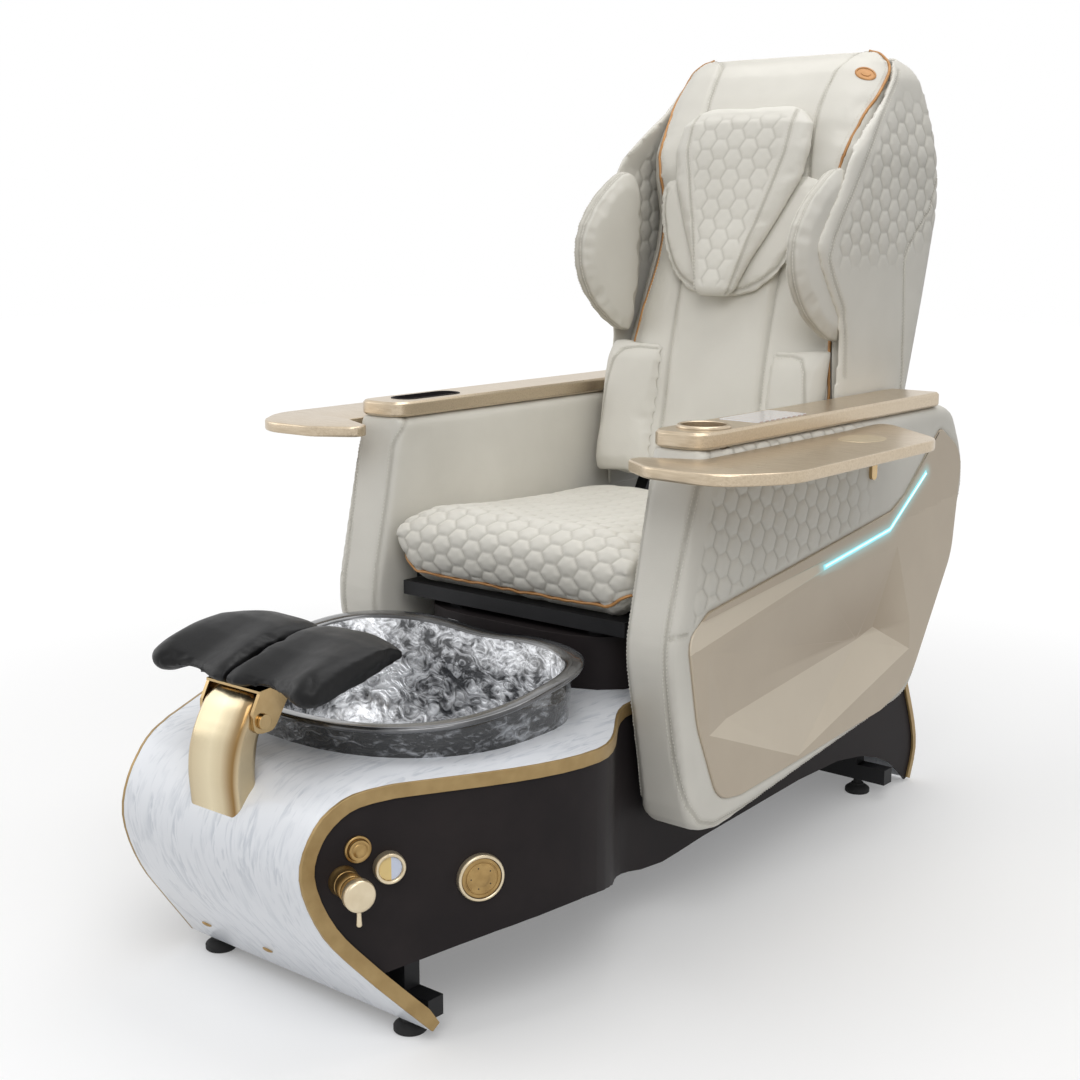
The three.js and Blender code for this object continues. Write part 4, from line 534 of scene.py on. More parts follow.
def inlay_look():
    """Satin paint of the side inlay, its tone of painted light and shade held by the mesh, with a painted
    glow on it round the light strip.
    """
    look = Look("inlay_paint", colour(188, 173, 152), 0.42, 0.15, emission_strength=0.5)
    patches = look.noise(11, 4)
    # painted light and shade: the values stored on the mesh lighten the ledge and the band and darken the
    # hollow
    tone = look.attribute("tone") + look.attribute("facet") + patches * 0.2 + -0.1
    look.put("Base Color", look.blend(tone, colour(152, 134, 112), colour(216, 205, 186)))
    look.put("Roughness", patches * 0.12 + 0.36)
    look.put("Emission Color", look.blend(look.attribute("glow"), (0, 0, 0, 1), colour(70, 190, 205)))
    look.bump(look.noise(700, 2), 0.00004, 0.6)
    return look


def post_look():
    """Polished gold of the post: pale along the middle of its width, with a painted brown reflection
    darkening it towards both edges.
    """
    look = Look("post_gold", colour(214, 196, 158), 0.22, 1.0)
    # painted reflection: brown bands towards both edges stand in for the dark reflections seen in polished
    # gold
    painted_reflection = look.ramp(look.along(0) * 9 + 0.5, [
        (0.0, 0.7), (0.2, 0.25), (0.5, 0.0), (0.72, 0.25), (0.92, 1.0), (0.96, 0.35)])
    look.put("Base Color", look.blend(painted_reflection, colour(220, 207, 176), colour(138, 108, 66)))
    look.put("Roughness", look.noise(5, 3) * 0.1 + 0.18)
    return look


INLAY = inlay_look()
POST = post_look()


def light_look(name, tint, strength):
    """Diffuser lit from behind: a little brighter in places, as the lamps under it are."""
    look = Look(name, tint, 0.4, emission_strength=strength)
    dots = look.noise(60, 1)
    look.put("Emission Color", look.blend(dots * 0.35, tint, (1, 1, 1, 1)))
    return look


LIGHT = light_look("light_strip", colour(120, 208, 220), 0.75)
LIGHT_CORE = light_look("light_core", colour(196, 240, 246), 1.0)


def dial_look():
    """Thermometer face: a warm half beside a cold half."""
    look = Look("dial_face", colour(225, 205, 120), 0.3, coat_weight=0.6, coat_roughness=0.05)
    side = look.node("ShaderNodeMath", {"operation": "GREATER_THAN"}, {0: look.along(1), 1: -0.6815})
    look.put("Base Color", look.blend(side, colour(226, 198, 128), colour(204, 213, 232)))
    look.put("Roughness", look.noise(200) * 0.1 + 0.25)
    return look


def screen_look():
    """Touch panel: pale glass with rows of plain key patches."""
    look = Look("screen_glass", colour(224, 228, 236), 0.12, coat_weight=1.0, coat_roughness=0.02)
    keys = look.node("ShaderNodeTexVoronoi", {"distance": "CHEBYCHEV"}, {
        "Vector": look.place((1, 1, 0)), "Scale": 62.0, "Randomness": 0.0})
    inside = look.node("ShaderNodeMath", {"operation": "LESS_THAN"}, {0: keys, 1: 0.3})
    look.put("Base Color", look.blend(inside, colour(226, 230, 238), colour(196, 170, 172)))
    look.put("Roughness", keys * 0.05 + 0.1)
    return look


DIAL = dial_look()
SCREEN = screen_look()


# ---------------------------------------------------------------- soft pieces
CLOTH_FRAMES = 20
CLOTH_PRESSURE = 4.0
SPRING_BACK = 1.04  # how much more a point moves back than it was evened
PITCH, STITCH, THREAD_RADIUS = 6.2, 4.0, 0.55
ROOT_3 = 1.7320508


def points_of(mesh, key="co"):
    """The points' places, or their normals, as an array."""
    values = np.empty(len(mesh.vertices) * 3, np.float32)
    mesh.vertices.foreach_get(key, values)
    return values.reshape(-1, 3).astype(float)


def set_points(mesh, points):
    mesh.vertices.foreach_set("co", np.asarray(points, np.float32).ravel())
    mesh.update()


def applied(obj):
    """The object's mesh with its modifiers worked in."""
    graph = bpy.context.evaluated_depsgraph_get()
    mesh = bpy.data.meshes.new_from_object(obj.evaluated_get(graph))
    obj.modifiers.clear()
    obj.data = mesh
    return obj


def relax(mesh, rounds):
    """Each point moves towards the mean of its neighbours, then back out a little, so the volume stays."""
    pairs = np.empty(len(mesh.edges) * 2, int)
    mesh.edges.foreach_get("vertices", pairs)
    pairs = pairs.reshape(-1, 2)
    count = np.bincount(pairs.ravel(), minlength=len(mesh.vertices))[:, None]
    points = points_of(mesh)
    for step in range(2 * rounds):
        share = 0.5 if step % 2 == 0 else -0.5 * SPRING_BACK
        others = points[pairs[:, ::-1].ravel()]
        total = np.stack([np.bincount(pairs.ravel(), others[:, k], len(points)) for k in range(3)], 1)
        points += share * (total / count - points)
    set_points(mesh, points)


def swell(obj, cap):
    """Air pressure under the cover: a short cloth run, each point kept within the cap of where it began."""
    rest = points_of(obj.data)
    cloth = obj.modifiers.new("swell", "CLOTH")
    cloth.settings.use_pressure = True
    cloth.settings.uniform_pressure_force = CLOTH_PRESSURE
    cloth.settings.effector_weights.gravity = 0
    cloth.settings.quality = 4
    cloth.settings.mass = 0.3
    cloth.settings.tension_stiffness = cloth.settings.compression_stiffness = 18
    cloth.settings.bending_stiffness = 0.8
    cloth.point_cache.frame_start = 1
    cloth.point_cache.frame_end = CLOTH_FRAMES
    for number in range(1, CLOTH_FRAMES + 1):
        scene.frame_set(number)
    graph = bpy.context.evaluated_depsgraph_get()
    pushed = points_of(obj.evaluated_get(graph).data)
    obj.modifiers.remove(cloth)
    scene.frame_set(1)
    move = pushed - rest
    reach = np.linalg.norm(move, axis=1)[:, None]
    set_points(obj.data, rest + move * np.minimum(1, cap / np.maximum(reach, 1e-9)))


def nearest(tree, points):
    """The closest surface point and its normal for each point, in millimetres."""
    found = [tree.find_nearest(Vector(p * MM)) for p in np.asarray(points, float)]
    return np.array([f[0] for f in found]) / MM, np.array([f[1] for f in found])


def path_distance(points, path):
    """Distance of every point to a line of straight segments."""
    best = np.full(len(points), 1e9)
    for a, b in zip(path[:-1], path[1:]):
        run = b - a
        t = np.clip((points - a) @ run / max(run @ run, 1e-9), 0, 1)
        best = np.minimum(best, np.linalg.norm(points - a - t[:, None] * run, axis=1))
    return best


def seam(path, width, depth):
    """A sewn groove along a path: depth * exp(-(distance / width)^2)."""
    def field(points, normals, tree):
        line, _ = nearest(tree, even(path, 12))
        fall = np.exp(-(path_distance(points, line) / width) ** 2)
        return -depth * fall, fall
    return field


def hexagons(where, size, height, mask):
    """Quilting: six-sided cells, flat side up, each a low cushion.

    where gives each point's place (u, v) on the cloth. A point belongs to the nearer of two interleaved
    cell grids. Its distance to the slanting sides and to the flat sides gives the rise,
    height * (1 - (1 - distance)^3), and the crease, which is deepest along the slanting sides."""
    def field(points, normals, tree):
        u, v = where(points)
        wide, tall = size * ROOT_3, size
        slanted, flat = None, None
        for shift in (0.0, 0.5):
            cu = (u / wide - shift) - np.round(u / wide - shift)
            cv = (v / tall - shift) - np.round(v / tall - shift)
            du, dv = np.abs(cu * wide), np.abs(cv * tall)
            to_slant = 0.5 * size - (du * ROOT_3 / 2 + dv * 0.5)
            to_flat = 0.5 * size - dv
            if slanted is None:
                slanted, flat = to_slant, to_flat
            else:
                nearer = np.minimum(to_slant, to_flat) > np.minimum(slanted, flat)
                slanted = np.where(nearer, to_slant, slanted)
                flat = np.where(nearer, to_flat, flat)
        edge = np.minimum(slanted, flat + 0.04 * size)
        inner = np.clip(edge / (0.5 * size), 0, 1)
        weight = mask(points, normals)
        crease = np.maximum(np.exp(-(slanted / (0.05 * size)) ** 2),
                            0.45 * np.exp(-(flat / (0.045 * size)) ** 2))
        return height * weight * ((1 - (1 - inner) ** 3) - 0.45), crease * weight * 0.8
    return field


def swellings(bump):
    """A plain rise given by a function of the points."""
    def field(points, normals, tree):
        return bump(points), np.zeros(len(points))
    return field


def seams(width, depth, *paths):
    """The same grooves on both sides."""
    return [seam(mirrored(path, side), width, depth) for _, side in SIDES for path in paths]


def finer_faces(obj, mask):
    """Halves the edges of the faces under the mask, so that the quilting has points to stand on."""
    work = bmesh.new()
    work.from_mesh(obj.data)
    work.faces.index_update()
    middles = np.array([face.calc_center_median() for face in work.faces]) / MM
    normals = np.array([face.normal for face in work.faces])
    covered = mask(middles, normals) > 0.02
    edges = [edge for edge in work.edges if any(covered[face.index] for face in edge.link_faces)]
    bmesh.ops.subdivide_edges(work, edges=edges, cuts=1, use_grid_fill=True)
    work.to_mesh(obj.data)
    work.free()


def soft(node, name, look, voxel, rounds, fields, shrink=0.0, cap=0.0, subdivide=1, taken_in=(),
         shape=None, dense=None):
    """A padded piece from its solid: remeshed, evened, drawn in, swollen, subdivided, then its seams pressed.

    The cloth step is left out where the cap is 0. The solids taken in are covered with it, shape moves the
    points, and dense is the mask under which the mesh is finer."""
    obj = bpy.data.objects.new(name, merged(name, (node, *taken_in)))
    scene.collection.objects.link(obj)
    voxels = obj.modifiers.new("voxels", "REMESH")
    voxels.mode = "VOXEL"
    voxels.voxel_size = voxel * MM
    applied(obj)
    relax(obj.data, rounds)
    if cap:
        normals = points_of(obj.data, "normal")
        set_points(obj.data, points_of(obj.data) - normals * shrink * MM)
        swell(obj, cap * MM)
        relax(obj.data, 2)
    for _ in range(subdivide):
        finer = obj.modifiers.new("finer", "SUBSURF")
        finer.levels = finer.render_levels = 1
        applied(obj)
    if dense:
        finer_faces(obj, dense)
        relax(obj.data, 1)
    if shape:
        set_points(obj.data, shape(points_of(obj.data) / MM) * MM)
    press(obj, fields)
    obj.data.materials.clear()
    obj.data.materials.append(look.material)
    obj.data.polygons.foreach_set("use_smooth", np.ones(len(obj.data.polygons), bool))
    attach(obj, body_of(node))
    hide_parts(node)
    return obj


def press(obj, fields):
    """Moves every point along its normal by the sum of the fields, and keeps how creased it is."""
    tree = surface(obj)
    points = points_of(obj.data) / MM
    normals = points_of(obj.data, "normal")
    rise, crease = np.zeros(len(points)), np.zeros(len(points))
    for field in fields:
        height, folded = field(points, normals, tree)
        rise += height
        crease = np.maximum(crease, folded)
    set_points(obj.data, (points + normals * rise[:, None]) * MM)
    keep(obj, "crease", crease)


def surface(obj):
    """The object's surface, for finding the closest place on it."""
    return BVHTree.FromObject(obj, bpy.context.evaluated_depsgraph_get())


def along(line):
    """Unit direction of travel at every point of a line."""
    tangent = np.gradient(line, axis=0)
    return tangent / np.maximum(np.linalg.norm(tangent, axis=1), 1e-6)[:, None]


def beside(tree, path, offset):
    """A path laid on the surface and moved sideways by the offset, along the surface."""
    line, normals = nearest(tree, even(path, 4))
    moved, _ = nearest(tree, line + np.cross(along(line), normals) * offset)
    for _ in range(2):
        moved[1:-1] = (moved[:-2] + moved[1:-1] * 2 + moved[2:]) / 4
    return moved


def both(skin, *rows):
    """Stitch rows (path, offset) of a surface, on both sides."""
    return [(skin, mirrored(path, side), offset) for _, side in SIDES for path, offset in rows]


def stitches(name, rows, body):
    """Thread: short six-sided spindles, one every pitch, along rows given as (surface, path, offset)."""
    around, rings = 6, 5
    turn = turns(around)
    rise = np.linspace(-1, 1, rings)
    thick = np.sqrt(np.clip(1 - rise ** 2 * 0.96, 0.02, 1)) * THREAD_RADIUS
    bow = (1 - rise ** 2) * THREAD_RADIUS * 0.9
    verts, faces, base = [], [], 0
    grid = quads(rings, around)
    ends = [list(range(around))[::-1], list(range((rings - 1) * around, rings * around))]
    for tree, path, offset in rows:
        middle, normal = nearest(tree, even(beside(tree, path, offset), PITCH))
        tangent = along(middle)
        across = np.cross(normal, tangent)
        p = middle[:, None, None] + normal[:, None, None] * 0.15
        p = p + tangent[:, None, None] * (rise * STITCH / 2)[None, :, None, None]
        p = p + normal[:, None, None] * bow[None, :, None, None]
        p = p + (across[:, None, None] * np.cos(turn)[None, None, :, None]
                 + normal[:, None, None] * np.sin(turn)[None, None, :, None]) * thick[None, :, None, None]
        count = len(middle)
        verts.append(p.reshape(-1, 3))
        starts = base + np.arange(count)[:, None, None] * around * rings
        faces.append((starts + grid[None]).reshape(-1, 4))
        for end in ends:
            faces.append(np.array(end)[None] + starts[:, :, 0])
        base += count * around * rings
    piece(name, np.concatenate(verts), faces, THREAD, body, "leather", angle=180)


def piping(name, tree, path, body, radius, lift):
    """A covered cord sewn into a seam, half sunk in the surface."""
    line, normals = nearest(tree, even(path, 6))
    for _ in range(3):
        line[1:-1] = (line[:-2] + 2 * line[1:-1] + line[2:]) / 4
    piece(name, *tube(line + normals * lift, radius), PIPING, body, "leather", angle=80)


# ---------------------------------------------------------------- rigid pieces on their solids
RIGID = [
    # node, look, eased edge
    ("base_shell", WHITE, 1.2), ("rear_shell", WHITE, 1.2),
    ("gold_trim_left", GOLD_BAND, 0.9), ("gold_trim_right", GOLD_BAND, 0.9),
    ("side_skirt_left", BLACK_PANEL, 0.0), ("side_skirt_right", BLACK_PANEL, 0.0),
    ("base_frame", BLACK_STEEL, 0.0), ("seat_plinth", BLACK_PANEL, 1.5), ("seat_frame", BLACK_STEEL, 0.0),
    ("arm_bar_left", CHAMPAGNE, 1.0), ("arm_bar_right", CHAMPAGNE, 1.0),
    ("remote_pocket", BLACK_PANEL, 0.8), ("tray_bracket_left", POLISHED, 0.8),
    ("tray_bracket_right", POLISHED, 0.8), ("footrest_arm", POLISHED, 0.6), ("footrest_pin", POLISHED, 0.6),
]
for node, look, ease in RIGID:
    copied(node, look, ease)

PLAIN = [
    ("slide_rail_left", STEEL), ("slide_rail_right", STEEL), ("recline_pin", STEEL),
    ("back_frame", BLACK_STEEL), ("drain_tailpipe", GREY), ("drain_strainer", STEEL),
    ("arm_light_left", LIGHT), ("arm_light_right", LIGHT), ("control_screen", SCREEN),
    ("eyelet_left", BRONZE), ("eyelet_right", BRONZE), ("thermometer_face", DIAL),
]
for node, look in PLAIN:
    for socket in frame["nodes"][node].material_slots:
        socket.material = look.material


# ---------------------------------------------------------------- controls on the left panel
UP = np.array([0.0, 0, 1])


def control(origin, out):
    """The placed axis of a control: its origin, two level directions across it, and the way it points."""
    out = np.array(out)
    return np.array(origin), np.cross(UP, out), UP, out


BUTTON = control((212.29, -716, 301), (0.91254, -0.40898, 0))
THERMOMETER = control((230.69, -678, 270), (0.88903, -0.45785, 0))
MIXER = control((203.79, -736, 261), (0.92819, -0.37212, 0))
SHOWER = control((293.11, -564, 235), (0.88181, -0.4716, 0))


def turned_piece(node, profile, place, look, wrap=False, extra=()):
    """A node's piece from its profile turned about the placed axis, and any extra shapes."""
    shape = joined(loft(turned(profile, place), wrap), *extra)
    piece(node + "_finished", *shape, look, body_of(node), SLOT[node], (node,))


turned_piece("button_bezel", [
    [15.3, -18], [18, -18], [18, -1], [19, -1], [19, 2.4], [18.6, 3.3], [17.6, 4], [16, 4], [15.3, 3.4],
], BUTTON, BRONZE, wrap=True)
turned_piece("air_button", [
    [0, -14], [12, -14], [15, -12], [15, 8], [14.6, 9], [13.4, 9.5], [11, 9.3], [10.4, 8.8], [9.6, 8.8],
    [9, 9.4], [5, 9.9], [0, 10],
], BUTTON, BRONZE)
turned_piece("thermometer_ring", [
    [10, -20], [18, -20], [18, -1], [22, -1], [22, 10.5], [21.6, 12], [20.4, 13.3], [18.6, 13.5],
    [17.2, 12.6], [16.5, 11], [16.5, 7], [10, 7],
], THERMOMETER, PALE_GOLD, wrap=True)
REACH = 36  # how far the mixer's body stands out
turned_piece("mixer_body", [
    [0, -26], [15, -26], [15, -1], [21, -1], [21, 3], [20.6, 4], [19.4, 7], [18.6, 9.4], [18.6, 16],
    [18, 16.6], [18, 18.4], [18.6, 19], [19, 20], [19, REACH - 1], [18.2, REACH], [0, REACH],
], MIXER, BRONZE)
turned_piece("mixer_cartridge", [
    [0, REACH + 0.3], [18, REACH + 0.3], [18, REACH + 3], [9, REACH + 6], [9, REACH + 15],
    [7, REACH + 17], [0, REACH + 17],
], MIXER, BRONZE)
lever_place = (MIXER[0] + MIXER[3] * (REACH + 19.5) - UP * 18, MIXER[1], MIXER[3], -UP)
lever_rings = turned([
    [0, -2], [3.0, -2], [3.0, 10], [3.4, 18], [3.8, 22], [3.6, 24], [2.4, 25.4], [0, 26]], lever_place, 24)
turned_piece("mixer_handle", [
    [10.5, REACH + 10], [14, REACH + 9.5], [20.6, REACH + 13], [22, REACH + 15], [22, REACH + 24],
    [21.4, REACH + 26.4], [19.6, REACH + 28], [16, REACH + 28.8], [0.01, REACH + 29], [0.01, REACH + 19],
    [10.5, REACH + 19],
], MIXER, PALE_GOLD, wrap=True, extra=[loft(lever_rings)])
turned_piece("shower_dock", [
    [14.3, -42], [19, -42], [19, -4], [33, -4], [33, -1], [34, -1], [34, 6], [33.4, 7.8], [32, 9],
    [30, 9], [29.3, 8.4], [29.3, -1], [14.3, -1],
], SHOWER, PALE_GOLD, wrap=True)
turned_piece("shower_head", [
    [0, -95], [9, -95], [14, -88], [14, -0.3], [29, -0.3], [29, 5.6], [28.2, 7], [26.6, 7.5], [24, 7.3],
    [23.4, 6.4], [22.4, 6.4], [21.8, 7.3], [13, 7.5], [12, 7.9], [9, 9.4], [4, 10], [0, 10],
], SHOWER, BRONZE)


def dots(name, look, slot, ring, size, count, lift):
    """Low domes of the size's radius in a ring on the shower's face."""
    origin, across, up, out = SHOWER
    profile = [[0, -0.6], [size, -0.6], [size * 0.9, 0.3 * size], [size * 0.6, 0.55 * size], [0, 0.7 * size]]
    caps = []
    for k in range(count):
        angle = 2 * math.pi * (k + 0.5) / count
        centre = origin + ring * (math.cos(angle) * across + math.sin(angle) * up) + out * lift
        caps.append(loft(turned(profile, (centre, across, up, out), 10)))
    piece(name, *joined(*caps), look, "shower_head", slot)


dots("shower_nozzles", BRONZE, "bronze", 19.4, 0.9, 44, 7.3)
dots("shower_jets", RUBBER, "bronze", 15.4, 1.7, 5, 6.6)


def upright(x, y):
    """A placed axis that stands on the floor."""
    return np.array([x, y, 0.0]), np.array([1.0, 0, 0]), np.array([0.0, 1, 0]), UP


for row, y, top in (("front", -616, 57.4), ("rear", 652, 53.4)):
    for label, side in SIDES:
        turned_piece(f"foot_{row}_{label}", [
            [0, 0], [22.5, 0], [24, 1.6], [24, 8], [23, 9.6], [17, 14.2], [15, 15], [12.6, 15.4], [12, 19],
            [8.6, 19.2], [8, 20], [8, top], [0, top]], upright(206 * side, y), RUBBER)
BAR_TOP = 808.3
CUP_FLOOR = BAR_TOP - 62
turned_piece("cup_holder", [
    [0, CUP_FLOOR], [37, CUP_FLOOR], [37, BAR_TOP + 0.3], [42, BAR_TOP + 0.3], [42, BAR_TOP + 2.4],
    [41.2, BAR_TOP + 3.8], [39, BAR_TOP + 5], [36.4, BAR_TOP + 4.8], [35, BAR_TOP + 3.6],
    [35, CUP_FLOOR + 5], [33, CUP_FLOOR + 3], [0, CUP_FLOOR + 3],
], upright(314, -72), CHAMPAGNE)


# ---------------------------------------------------------------- bowl
BOWL_Y, BOWL_HALF, BOWL_FRONT, BOWL_REAR = -413, 276, 247, 205
DECK_Z, BOWL_FLOOR = 385, 262
RIM_ROWS, INNER_ROWS = 11, 20  # rows of faces, counted from the rim's outer foot


def rim_height(x, y):
    """The rim rises towards the sitter by a smooth step and dips a little in the middle of the back."""
    back = (y - (BOWL_Y - BOWL_FRONT)) / (BOWL_FRONT + BOWL_REAR)
    dip = 8 * smooth(back * 3 - 2) * np.exp(-((x / 75) ** 2))
    return mix(433, 474, smooth(back)) - dip


def wall(share):
    """A height between the bowl's floor, 0, and the deck, 1."""
    return mix(BOWL_FLOOR, DECK_Z, share)


def bowl_ring(shrink, height, drop, count):
    """A superellipse, squarer at the back: x = w cos^p, y = l sin^p, in from the rim by shrink."""
    angle = turns(count)
    c, s = np.cos(angle), np.sin(angle)
    power = np.where(s > 0, 2 / 3.1, 2 / 2.2)
    reach = np.where(s > 0, BOWL_REAR, BOWL_FRONT) - shrink
    x = (BOWL_HALF - shrink) * signed_power(c, power)
    y = BOWL_Y + reach * signed_power(s, power)
    z = rim_height(x, y) - drop if height is None else np.full(count, float(height))
    return np.stack([x, y, z], 1)


def bowl():
    """Rim, inner wall, floor and outer wall as one closed skin."""
    count = 180
    inner = 29
    stops = [
        # in from the rim, height or None for the rim's own, drop from the rim
        (17, None, 13), (7, None, 10.6), (3, None, 8.6), (0.8, None, 6.4), (0, None, 4), (1.2, None, 1.4),
        (3.6, None, 0.2), (8, None, 0), (18, None, 0), (22, None, 0.6), (25.6, None, 2.4), (28.4, None, 6),
        (inner + 8, DECK_Z, 0), (inner + 14, wall(0.72), 0),
        (inner + 22, wall(0.45), 0), (inner + 33, wall(0.29), 0),
        (inner + 50, wall(0.17), 0), (inner + 70, BOWL_FLOOR + 14, 0),
        (inner + 92, BOWL_FLOOR + 11, 0), (200, BOWL_FLOOR + 9.4, 0),
    ]
    rings = [bowl_ring(s, h, d, count) for s, h, d in stops]
    angle = turns(count)
    for radius, z in ((26, BOWL_FLOOR + 9), (26, BOWL_FLOOR)):
        rings.append(np.stack([
            radius * np.cos(angle), BOWL_Y + radius * np.sin(angle), np.full(count, z)], 1))
    for s, h in ((inner + 80, BOWL_FLOOR), (inner + 58, BOWL_FLOOR + 3), (inner + 40, wall(0.1)),
                 (inner + 24, wall(0.24)), (inner + 12, wall(0.42)),
                 (25.5, wall(0.75)), (22, DECK_Z - 2), (19.4, DECK_Z + 18)):
        rings.append(bowl_ring(s, h, 0, count))
    verts, faces = loft(np.array(rings), wrap=True)
    obj = piece("bath_bowl", verts, faces, [GLASS_OUTSIDE, GLASS_INSIDE, GLASS_RIM], "base", "smoke_glass",
                ("tub_bowl",), 60)
    row = np.arange(len(obj.data.polygons)) // count
    look = np.where(row < RIM_ROWS, 2, np.where(row < INNER_ROWS, 1, 0))
    obj.data.polygons.foreach_set("material_index", look)


bowl()


# ---------------------------------------------------------------- post
PIN_Y, PIN_Z = -738, 451
POST_LEVELS = [
    # height over the pin, front and rear edge behind the pin, flare
    [-175, -44, 4, 5], [-150, -46, 0, 4], [-113, -49, -5, 3], [-80, -52, -7, 2], [-50, -50, -4, 1],
    [-26, -44, 2, 0], [-11, -37, 10, 0], [0, -31, 17, 0], [19, -20, 23, -2], [29, -10, 24, -5],
    [34, -3, 22, -9], [36, 1, 19, -13],
]


def nose_height(y):
    """Height of the white skin under the post."""
    return np.interp(y, [-798, -778, -732, -672], [276, 337, 375, 385])


def post():
    """Rounded rectangles one over the other, the level lines drawn through as a smooth curve."""
    rings, corner = [], 13
    for rise, front, rear, flare in spline(POST_LEVELS, 46):
        half = 50 + flare
        outline = rounded([[-half, PIN_Y + front, corner], [half, PIN_Y + front, corner],
                           [half, PIN_Y + rear, corner], [-half, PIN_Y + rear, corner]], 8)
        rings.append(np.insert(outline, 2, PIN_Z + rise, axis=1))
    rings = np.array(rings)
    rings[..., 2] = np.maximum(rings[..., 2], nose_height(rings[..., 1]) + 0.5)
    piece("footrest_post_finished", *loft(rings), POST, "base", "polished_gold", ("footrest_post",), 50)


post()


# ---------------------------------------------------------------- trays
TRAY_TOP = 774


def tray(node, side):
    """A tray, and an oval mark of a paler finish flush in it, a place to stand a glass on."""
    plan = rounded([
        [372, -158, 8], [372, 247, 30], [367, 327, 30], [366, 381, 14], [394, 381, 24], [539, 267, 80],
        [542, -178, 120], [472, -276, 90], [350, -270, 60], [258, -210, 24],
    ], 14)
    verts, faces = slab(plan, 756, TRAY_TOP, 3.4)
    piece(node + "_finished", mirrored(verts, side), faces, CHAMPAGNE, node, "champagne", (node,), 30)
    mark = spline([[478, 190, 0], [466, 222, 0], [438, 232, 0], [412, 218, 0], [406, 186, 0], [418, 154, 0],
                   [446, 144, 0], [470, 158, 0]], 64, True)
    verts, faces = slab(mark[:, :2], TRAY_TOP - 0.2, TRAY_TOP + 0.4, 0.2, steps=1)
    piece(node + "_mark", mirrored(verts, side), faces, PALE_GOLD, node, "champagne", angle=30)


for label, side in SIDES:
    tray("tray_" + label, side)


# ---------------------------------------------------------------- bright core of the light strips
CORE = [(218, 550.4), (438, 580.6), (566, 665)]
for label, side in SIDES:
    verts, faces = tube(np.insert(even(CORE, 6), 0, 366.6, axis=1), 1.5)
    piece(f"arm_light_{label}_core", mirrored(verts, side), faces, LIGHT_CORE, "chair", "light_strip",
          angle=60)


# ---------------------------------------------------------------- seat cushion
ROLL_Y, ROLL_Z, ROLL_RADIUS = -122, 578, 70


def seat_cloth(points):
    """Unrolls the seat: u across, v up the front, an arc about the roll's middle, and on over the top."""
    x, y, z = points.T
    ahead = y - ROLL_Y
    roll = ROLL_RADIUS * np.arctan2(np.maximum(-ahead, 0), -(z - ROLL_Z))
    return x, np.where(ahead < 0, roll, ROLL_RADIUS * math.pi + np.maximum(ahead, 0))


def seat_mask(points, normals):
    x, y, z = points.T
    inside = smooth((252 - np.abs(x)) / 10) * smooth((z - 522) / 14)
    front = smooth((40 - y) / 160)
    return inside * mix(0.45, 1.0, front) * smooth((330 - y) / 30) * ((normals[:, 2] > -0.5) | (y < -150))


SEAT_HEM = [
    (-257, 60, 545), (-257, -60, 543), (-256, -130, 541), (-251, -172, 531), (-235, -182, 520),
    (-205, -176, 513), (-120, -172, 510), (0, -171, 509), (120, -172, 510), (205, -176, 513),
    (235, -182, 520), (251, -172, 531), (256, -130, 541), (257, -60, 543), (257, 60, 545),
]
seat = soft("seat_cushion", "seat_pad", LEATHER, voxel=5.5, shrink=4, cap=7, rounds=5, fields=[
    hexagons(seat_cloth, 39, 4.4, seat_mask), seam(SEAT_HEM, 4, 2.0)])
seat_skin = surface(seat)
piping("seat_piping", seat_skin, SEAT_HEM, "chair", 2.7, 1.0)
stitches("seat_stitches", [(seat_skin, SEAT_HEM, 7.0)], "chair")


# ---------------------------------------------------------------- arm covers
ARM_SEAM = [
    (352, -116, 778), (357, -149, 728), (354, -161, 687), (350, -173, 641), (347, -185, 592),
    (344, -195, 549), (343, -201, 522), (343, -206, 468), (341, -194, 390), (343, -181, 317),
    (349, -173, 275), (357, -160, 237), (361, -136, 205), (362, -95, 190), (362, 60, 197),
    (362, 300, 227), (362, 520, 262), (362, 610, 320), (362, 690, 440), (362, 730, 560), (362, 718, 670),
]
ARM_LINK = [(349, -201, 508), (356, -194, 511), (363, -178, 512)]
ARM_INNER_SEAM = [
    (276, -118, 778), (275, -151, 729), (272, -168, 651), (271, -185, 585), (271, -197, 530),
    (271, -204, 470), (271, -196, 395), (271, -180, 300), (275, -158, 236), (278, -120, 196),
]
ARM_OUTER = 364
INLAY_FACE, INLAY_BACK = 366, 337
INLAY_OUTLINE = rounded([
    [-175, 500, 34], [-123, 535, 14], [445, 612, 12], [494, 636, 10], [622, 742, 16], [712, 690, 60],
    [686, 500, 120], [540, 280, 120], [436, 250, 60], [-23, 218, 60], [-87, 226, 60], [-147, 360, 160]], 6)


def inside_inlay(points):
    """Distance to the inlay's outline in side view, positive inside it."""
    p = points[:, 1:]
    closed = np.vstack([INLAY_OUTLINE, INLAY_OUTLINE[:1]])
    odd = np.zeros(len(p), bool)
    for a, b in zip(closed[:-1], closed[1:]):
        run = b - a
        crosses = (a[1] > p[:, 1]) != (b[1] > p[:, 1])
        rise = run[1] if abs(run[1]) > 1e-9 else 1e-9
        odd ^= crosses & (p[:, 0] < a[0] + (p[:, 1] - a[1]) * run[0] / rise)
    far = path_distance(p, closed)
    return np.where(odd, far, -far)


def tucked(points):
    """The cover dips at the inlay's edge and runs back behind it."""
    inside = inside_inlay(points)
    x = np.abs(points[:, 0])
    outer = x > np.where(inside > 8, 305, 345)
    behind = ARM_OUTER - 2.2 * np.exp(-(np.minimum(inside, 0) / 4) ** 2) - 40 * smooth((inside - 1.5) / 9)
    x = np.where(outer & (inside > -12), np.minimum(x, behind), x)
    return np.stack([np.sign(points[:, 0]) * x, points[:, 1], points[:, 2]], 1)


